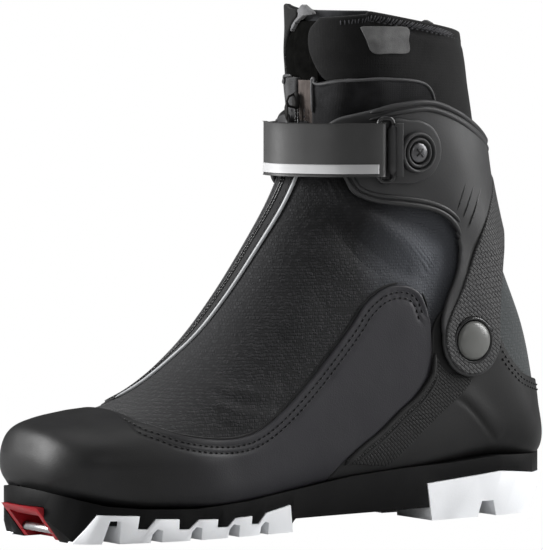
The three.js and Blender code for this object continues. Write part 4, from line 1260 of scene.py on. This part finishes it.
def zip_teeth():
    """Two rows of teeth that reach between each other, each row on its cord."""
    teeth = Pile()
    for shift, lean in ((5.0, 1), (7.0, -1)):
        t, phi = zip_line(shift)
        line = place(t, phi, 1.1)
        normal = form_normal(t, phi)
        tube(teeth, line, 0.55, normal)
        along = run_of(line)
        for s in np.arange(1, along[-1], 1.9):
            p = read_at(s + 0.45 * lean, along, line)
            q = np.array([0, 1.15 * lean, 0])
            up = read_at(s, along, normal)
            tube(teeth, [p - q, p - q / 3, p + q / 3, p + q], 0.5, up, sides=6, taper=1)
    blended(teeth.object("zip_teeth", BLACK), "black", "zip_chain_foot", "zip_chain_shaft")


def slider():
    """The zip's slider with its bridge, and the pull that hangs from the bridge."""
    body = Pile()
    rise = [(10.6, -2, z) for z in np.linspace(203.6, 213, 8)]
    tube(body, rise, 2.4, (-1, 0, 0), sides=16, taper=1.6, squash=0.62)
    bridge = [(9.4, -2, 205), (6.4, -2, 205.6), (5.2, -2, 207.9), (6.4, -2, 210.4), (9.4, -2, 211.4)]
    tube(body, bridge, 0.6, (0, -1, 0))
    riding(body.object("slider_body", BURNISHED), "zip_slider", "black", "zip_slider")
    pull = Pile()
    hang = [(4.9, -2, 208.2), (4.9, -2, 205), (5.1, -2, 201), (5.4, -2, 197.8)]
    tube(pull, hang, 1.5, (-1, 0, 0), sides=12, taper=0.8, squash=0.36)
    riding(pull.object("slider_pull", BURNISHED), "zip_pull", "black", "zip_pull")


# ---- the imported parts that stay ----
def keep(node, material):
    """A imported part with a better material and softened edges."""
    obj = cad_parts[node]
    obj.data.materials.clear()
    obj.data.materials.append(material)
    weld = obj.modifiers.new("weld", "WELD")
    weld.merge_threshold = 0.00001
    soft = obj.modifiers.new("bevel", "BEVEL")
    soft.width = 0.35 * MM
    soft.segments = 3
    soft.limit_method = "ANGLE"
    soft.angle_limit = math.radians(28)
    soft.harden_normals = True
    obj.data.polygons.foreach_set("use_smooth", [True] * len(obj.data.polygons))


KEPT = {
    "outsole": SOLE, "toe_binding_insert": INSERT, "binding_pin": STEEL, "forefoot_tread_lateral": TREAD,
    "forefoot_tread_medial": TREAD, "heel_tread": TREAD, "arch_shank": STEEL, "insole_board": BOARD,
    "footbed": FOAM, "toe_puff": BOARD, "heel_stiffener": BOARD, "tongue": FOAM, "eyestay_lateral": TAPE,
    "eyestay_medial": TAPE, "lace": THREAD, "pivot_nut_lateral": STEEL, "pivot_nut_medial": STEEL,
    "pivot_bush_lateral": BLACK, "pivot_bush_medial": BLACK, "pull_tab": TAPE, "strap_anchor_nut": STEEL,
    "strap_medial_washer": SHELL, "strap_medial_nut": STEEL,
}


# ---- the studio ----
AZIMUTH, ELEVATION, DISTANCE, LENS = -34.0, 3.7, 3.0, 398.6
TARGET = Vector((-0.0054, 0.001, 0.1225))


def camera():
    """The camera at the photograph's angle."""
    a, e = math.radians(AZIMUTH), math.radians(ELEVATION)
    back = Vector((math.sin(a) * math.cos(e), -math.cos(a) * math.cos(e), math.sin(e)))
    data = bpy.data.cameras.new("camera")
    data.lens = LENS
    data.clip_start, data.clip_end = 0.1, 50
    obj = bpy.data.objects.new("camera", data)
    obj.location = TARGET + back * DISTANCE
    obj.rotation_mode = "QUATERNION"
    obj.rotation_quaternion = (-back).to_track_quat("-Z", "Y")
    bpy.context.scene.collection.objects.link(obj)
    bpy.context.scene.camera = obj


def lamp(name, at, energy, size, tall=None):
    """A soft rectangular light aimed at the boot."""
    data = bpy.data.lights.new(name, "AREA")
    data.energy = energy
    data.shape = "RECTANGLE"
    data.size = size
    data.size_y = tall or size
    obj = bpy.data.objects.new(name, data)
    obj.location = at
    obj.rotation_mode = "QUATERNION"
    obj.rotation_quaternion = (Vector((0, 0, 0.12)) - obj.location).to_track_quat("-Z", "Y")
    bpy.context.scene.collection.objects.link(obj)


def sky():
    """White where the camera sees it, and dimmer where the boot reflects it."""
    world = bpy.data.worlds.new("studio")
    bpy.context.scene.world = world
    world.use_nodes = True
    nodes, links = world.node_tree.nodes, world.node_tree.links
    dim = nodes["Background"]
    dim.inputs[0].default_value = (1, 1, 1, 1)
    dim.inputs[1].default_value = 0.1
    seen = nodes.new("ShaderNodeBackground")
    seen.inputs[1].default_value = 1.0
    seen.inputs[0].default_value = (1, 1, 1, 1)
    mix = nodes.new("ShaderNodeMixShader")
    links.new(nodes.new("ShaderNodeLightPath").outputs["Is Camera Ray"], mix.inputs[0])
    links.new(dim.outputs[0], mix.inputs[1])
    links.new(seen.outputs[0], mix.inputs[2])
    links.new(mix.outputs[0], nodes["World Output"].inputs[0])


def floor_look():
    """Pale and plain: white to the camera, and dim where it would light the boot from below."""
    look = Look("floor", 0.95, specular=0.05)
    look.paint(look.mix(look.noise(2), (0.5, 0.5, 0.5), (0.54, 0.54, 0.54)))
    white = look.node("Emission", {"Color": (1, 1, 1, 1), "Strength": 1.0}).outputs[0]
    seen = look.node("LightPath").outputs["Is Camera Ray"]
    both = look.node("MixShader", {0: seen, 1: look.shader.outputs[0], 2: white}).outputs[0]
    look.tree.links.new(both, look.tree.nodes["Material Output"].inputs["Surface"])
    return look.material


def studio():
    """Lights, sky, floor and view."""
    lamp("key_left", (-1.5, 0.85, 0.8), 58, 0.5, 1.3)
    lamp("rim_right", (1.5, -0.7, 0.9), 30, 0.5, 1.3)
    lamp("fill_camera", (-0.6, -2.4, 1.2), 7.5, 1.2)
    lamp("top", (0.1, 0.1, 1.9), 9, 1.2)
    sky()
    bpy.ops.mesh.primitive_plane_add(size=30, location=(0, 0, -0.0002))
    floor = bpy.context.active_object
    floor.name = "floor"
    floor.data.materials.append(floor_look())
    view = bpy.context.scene.view_settings
    view.view_transform = "Standard"
    view.look = "None"


camera()
studio()
for node, material in KEPT.items():
    keep(node, material)
for build in (gaiter, linings, rand, counter, counter_edges, cuff, engraved, cuff_pipings, rivets, strap,
              ring, anchor, anchor_rings, screws, collar, collar_front, overlock, felt_band, label, zipper,
              slider):
    build()
